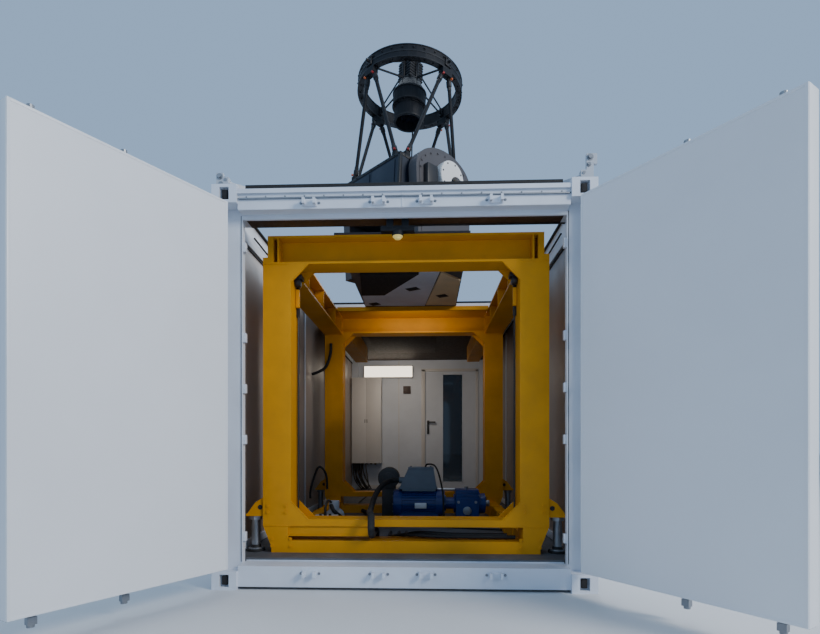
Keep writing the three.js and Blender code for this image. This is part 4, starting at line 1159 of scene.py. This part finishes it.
def arm_caps(bm):
    """Bearing cap on the far arm, base flange and a cable guide up its side."""
    add_round(bm, 0, (ARM_FACE, ARM_FACE + 0.030), ALTITUDE_Z, 0.120, 48, bevel=0.004)
    add_ring(bm, 0.436, 0.424, 2.452, 2.472, 96)
    for sign in SIGNS:
        add_box(bm, (0.292, sign * 0.448 - 0.030, 2.50), (0.318, sign * 0.448 + 0.030, 2.72), 0.004)
    add_box(bm, (-0.170, -0.170, 2.6395), (0.170, 0.170, 2.652), 0.004)
    add_box(bm, (-0.252, -0.33, 2.50), (-0.249, 0.33, 2.62), 0.001)


def drive_cover_trim(bm):
    """Knurls round the drive cover, left out over its opening."""
    place = turned((COVER["x"], COVER["face"] + 0.004, COVER["z"]), math.pi / 2, "X")
    for turn in turns(40):
        if -1.45 < math.atan2(math.sin(turn), math.cos(turn)) < 0.05:
            continue
        knurl = place @ Matrix.Rotation(turn, 4, "Z")
        add_box(bm, (COVER["r"] - 0.002, -0.006, -0.064), (COVER["r"] + 0.003, 0.006, -0.002), 0.002, knurl)


def drive_dark(bm):
    """Wheel and motor in the cover's opening, the cover's screws and a box beside it."""
    x, face, z = COVER["x"], COVER["face"], COVER["z"]
    wheel = Vector((x + 0.055, face + 0.055, z - 0.047))
    add_rod(bm, wheel, wheel - Vector((0, 0.006, 0)), 0.068, 40)
    add_rod(bm, wheel, wheel - Vector((0, 0.048, 0)), 0.034, 32, bevel=0.004)
    for turn in (0.5, 1.3, 2.1, 2.9, 3.7, 4.4):
        screw = (x + 0.116 * math.cos(turn), face, z + 0.116 * math.sin(turn))
        add_bolt(bm, screw, (0, -1, 0), 0.005, 0.004)
    add_box(bm, (-0.250, -ARM_FACE - 0.052, ALTITUDE_Z - 0.150),
            (-0.135, -ARM_FACE, ALTITUDE_Z + 0.030), 0.008)


def azimuth_details(bm):
    """Teeth round the azimuth ring, on the fixed plate."""
    for turn in turns(72):
        add_box(bm, (0.388, -0.008, 2.428), (0.398, 0.008, 2.442), 0.002, Matrix.Rotation(turn, 4, "Z"))


def plate_details(bm):
    """Bolts along the mount plate, and the drive box on it."""
    for x in (-0.47, 0.43):
        for k in range(12):
            add_bolt(bm, (x, 0.48 + k * 0.19, 2.4245), (0, 0, 1), 0.010, 0.009)
    add_box(bm, (-0.300, 2.30, 2.4244), (0.260, 2.62, 2.540), 0.010)


dress("tube", TUBE, SATIN_BLACK, "telescope_black", strut_collars, ring_rims, ring_bolts, spider_clamps,
      camera_details, mirror_details, mirror_screws)
dress("tube", TUBE, LENS, "telescope_black", camera_lens)
dress("tube", TUBE, RUBBER, "seal_rubber", camera_cable, smooth_angle=60)
dress("tube", TUBE, SKY_TINTED_BLACK, "telescope_black", mirror_panels)
dress("tube", TUBE, MIRROR_GLASS, "bar_steel", mirror_face)
dress("mount", MOUNT, GREY, "mount_grey", arm_panels, arm_bolts, arm_caps)
dress("mount", MOUNT, DRIVE_WHITE, "drive_white", drive_cover_trim)
dress("mount", MOUNT, PLASTIC, "handle_black", drive_dark)
dress(STATIC, AXIS, STEEL, "bar_steel", azimuth_details)
dress(STATIC, ROOM, GREY, "mount_grey", plate_details)
piece("strut_fittings_red", lambda bm: strut_fittings(bm, 0), RED,
      "tube", TUBE)
piece("strut_fittings_orange", lambda bm: strut_fittings(bm, 1), ORANGE,
      "tube", TUBE)


# Outside: roof, side rails, rear end and fittings
def roof_ribs(bm):
    """Pressed ribs and seam covers on the fixed roof."""
    for i in range(11):
        y = 3.05 + 0.27 * i
        add_box(bm, (-1.06, y, 2.570), (1.06, y + 0.110, 2.582), 0.006)
    for x in (-1.135, 1.095):
        add_box(bm, (x, 2.83, 2.572), (x + 0.040, 5.86, 2.578), 0.002)
    add_box(bm, (-1.12, 2.81, 2.572), (1.12, 2.86, 2.580), 0.002)


def roof_rivets(bm):
    """Rivets along both edges of the fixed roof."""
    for side in SIGNS:
        for i in range(24):
            add_round(bm, side * 1.115, 2.88 + 0.125 * i, (2.577, 2.5815), 0.007, 10)


def rail_details(bm):
    """Lips and skin of the top and bottom side rails, and seams of the lift pockets."""
    x = 1.2165
    for z in ((2.578, 2.590), (2.474, 2.482), (0.158, 0.168)):
        add_pair(bm, (x - 0.0015, x + 0.0015), (0.19, 5.86), z, 0.001)
    add_pair(bm, (x - 0.0009, x + 0.0009), (0.18, 5.875), (0.031, 0.165))
    for side in SIGNS:
        for y in (1.9, 2.5, 3.5, 4.1):
            add_box(bm, (side * x - 0.001, y, 0.020), (side * x + 0.0012, y + 0.012, 0.156), 0.0008)


def rear_trim(bm):
    """Frame round the personnel door outside, drip edge and panel joints."""
    add_box(bm, (0.062, 6.0205, 0.172), (0.112, 6.030, 2.262), 0.002)
    add_box(bm, (0.062, 6.0205, 2.236), (1.045, 6.030, 2.284), 0.002)
    add_box(bm, (0.040, 6.022, 2.288), (1.050, 6.052, 2.296), 0.002)
    for x in (-0.75, -0.35):
        add_box(bm, (x - 0.005, END_OUTSIDE, TRIM_FOOT), (x + 0.005, 6.0225, 2.43), 0.001)


def rear_vent(bm):
    """Louvred air inlet on the blank half of the end wall."""
    add_rim(bm, (-0.98, -0.52), (END_OUTSIDE, 6.032), (1.86, 2.21), 0.025, 0.025, 0.002)
    for i in range(9):
        blade = turned((-0.75, 6.026, 1.905 + 0.033 * i), math.radians(35), "X")
        add_box(bm, (-0.205, -0.010, -0.002), (0.205, 0.010, 0.002), 0.0005, blade)


def rear_bolts(bm):
    """Bolts of the air inlet, the door's frame and the rear posts."""
    add_bolts(bm, (-0.967, -0.533), (6.032,), (1.875, 2.195), (0, 1, 0), 0.006, 0.005)
    add_bolts(bm, (0.087,), (6.030,), (0.30, 0.95, 1.60, 2.15), (0, 1, 0), 0.006, 0.005)
    add_bolts(bm, (-1.157, 1.157), (6.0555,), (0.26, 0.9, 1.55, 2.2), (0, 1, 0), 0.006, 0.0015)


def entry_outside(bm):
    """Kick plate and leaf border on the outer face of the personnel door."""
    add_box(bm, (0.145, END_OUTSIDE, 0.190), (0.965, 6.0225, 0.262), 0.001)
    for x in (0.135, 0.968):
        add_box(bm, (x, END_OUTSIDE, 0.190), (x + 0.010, 6.0215, 2.215), 0.0008)


def bracket_pins(bm):
    """Pins, nuts and worn steel ends of the roof-cover brackets."""
    for side, top in ((-1, 2.680), (1, 2.756)):
        x = side * 1.179
        add_bolt(bm, (x, 0.034, top - 0.024), (0, -1, 0), 0.014, 0.012)
        add_bolt(bm, (x - side * 0.008, 0.034, top - 0.070), (0, -1, 0), 0.010, 0.010)
        add_round(bm, side * 1.141, (0.030, 0.112), 2.635, 0.010, 16)
        for dx in (1.095, 1.190):
            add_bolt(bm, (side * dx, 0.130, 2.6035), (0, 0, 1), 0.010, 0.008)


dress(STATIC, ROOM, WHITE, "shell_white", roof_ribs, roof_rivets, rail_details, rear_trim)
dress(STATIC, ROOM, BRACKET, "bracket_grey", rear_vent)
dress(STATIC, ROOM, STEEL, "bar_steel", rear_bolts, bracket_pins)
dress("rear_entry", ROOM, STEEL, "bar_steel", entry_outside)


# Studio
def area_light(name, at_place, towards, size, power, colour):
    """A round soft light at a place, turned towards another."""
    data = bpy.data.lights.new(name, "AREA")
    data.shape = "DISK"
    data.size = size
    data.energy = power
    data.color = colour
    light = bpy.data.objects.new(name, data)
    light.location = at_place
    light.rotation_euler = (Vector(towards) - Vector(at_place)).to_track_quat("-Z", "Y").to_euler()
    bpy.context.collection.objects.link(light)


def studio():
    """Plain ground, pale sky and the lights: sun from the right, and two warm lamps inside."""
    material, _, shader, _ = clouded("studio_floor", 0.8, (0.60, 0.61, 0.62), (0.64, 0.65, 0.66))
    shader.inputs["Roughness"].default_value = 0.8
    bpy.ops.mesh.primitive_plane_add(size=120, location=(0, 0, 0))
    floor = bpy.context.object
    floor.name = "studio_floor"
    floor.data.materials.append(material)
    world = bpy.data.worlds.new("studio")
    world.use_nodes = True
    background = world.node_tree.nodes["Background"]
    background.inputs["Color"].default_value = (0.44, 0.66, 0.98, 1)
    background.inputs["Strength"].default_value = 0.72
    bpy.context.scene.world = world
    area_light("key", (9, FACE_Y - 6, 6.5), (-0.6, FACE_Y, 1.4), 4, 1080, (1.0, 0.955, 0.90))
    area_light("fill", (-7, FACE_Y - 7, 5), (0.6, FACE_Y, 1.5), 6, 120, (0.66, 0.83, 1.0))
    area_light("top", (0, 1, 11), (0, 0, 0), 7, 420, (0.85, 0.93, 1.0))
    area_light("rear", (3, 9, 6), (0, 2, 1.5), 6, 260, (0.9, 0.95, 1.0))
    area_light("room", (MIDDLE_X - 0.4, FACE_Y + 4.6, 2.15), (MIDDLE_X, FACE_Y + 5.6, 1.0), 0.8, 7.5,
               (1.0, 0.86, 0.70))
    area_light("porch", (MIDDLE_X, FACE_Y + 2.2, 2.1), (MIDDLE_X, FACE_Y + 5.5, 0.9), 0.9, 4,
               (1.0, 0.90, 0.78))


make_camera()
studio()
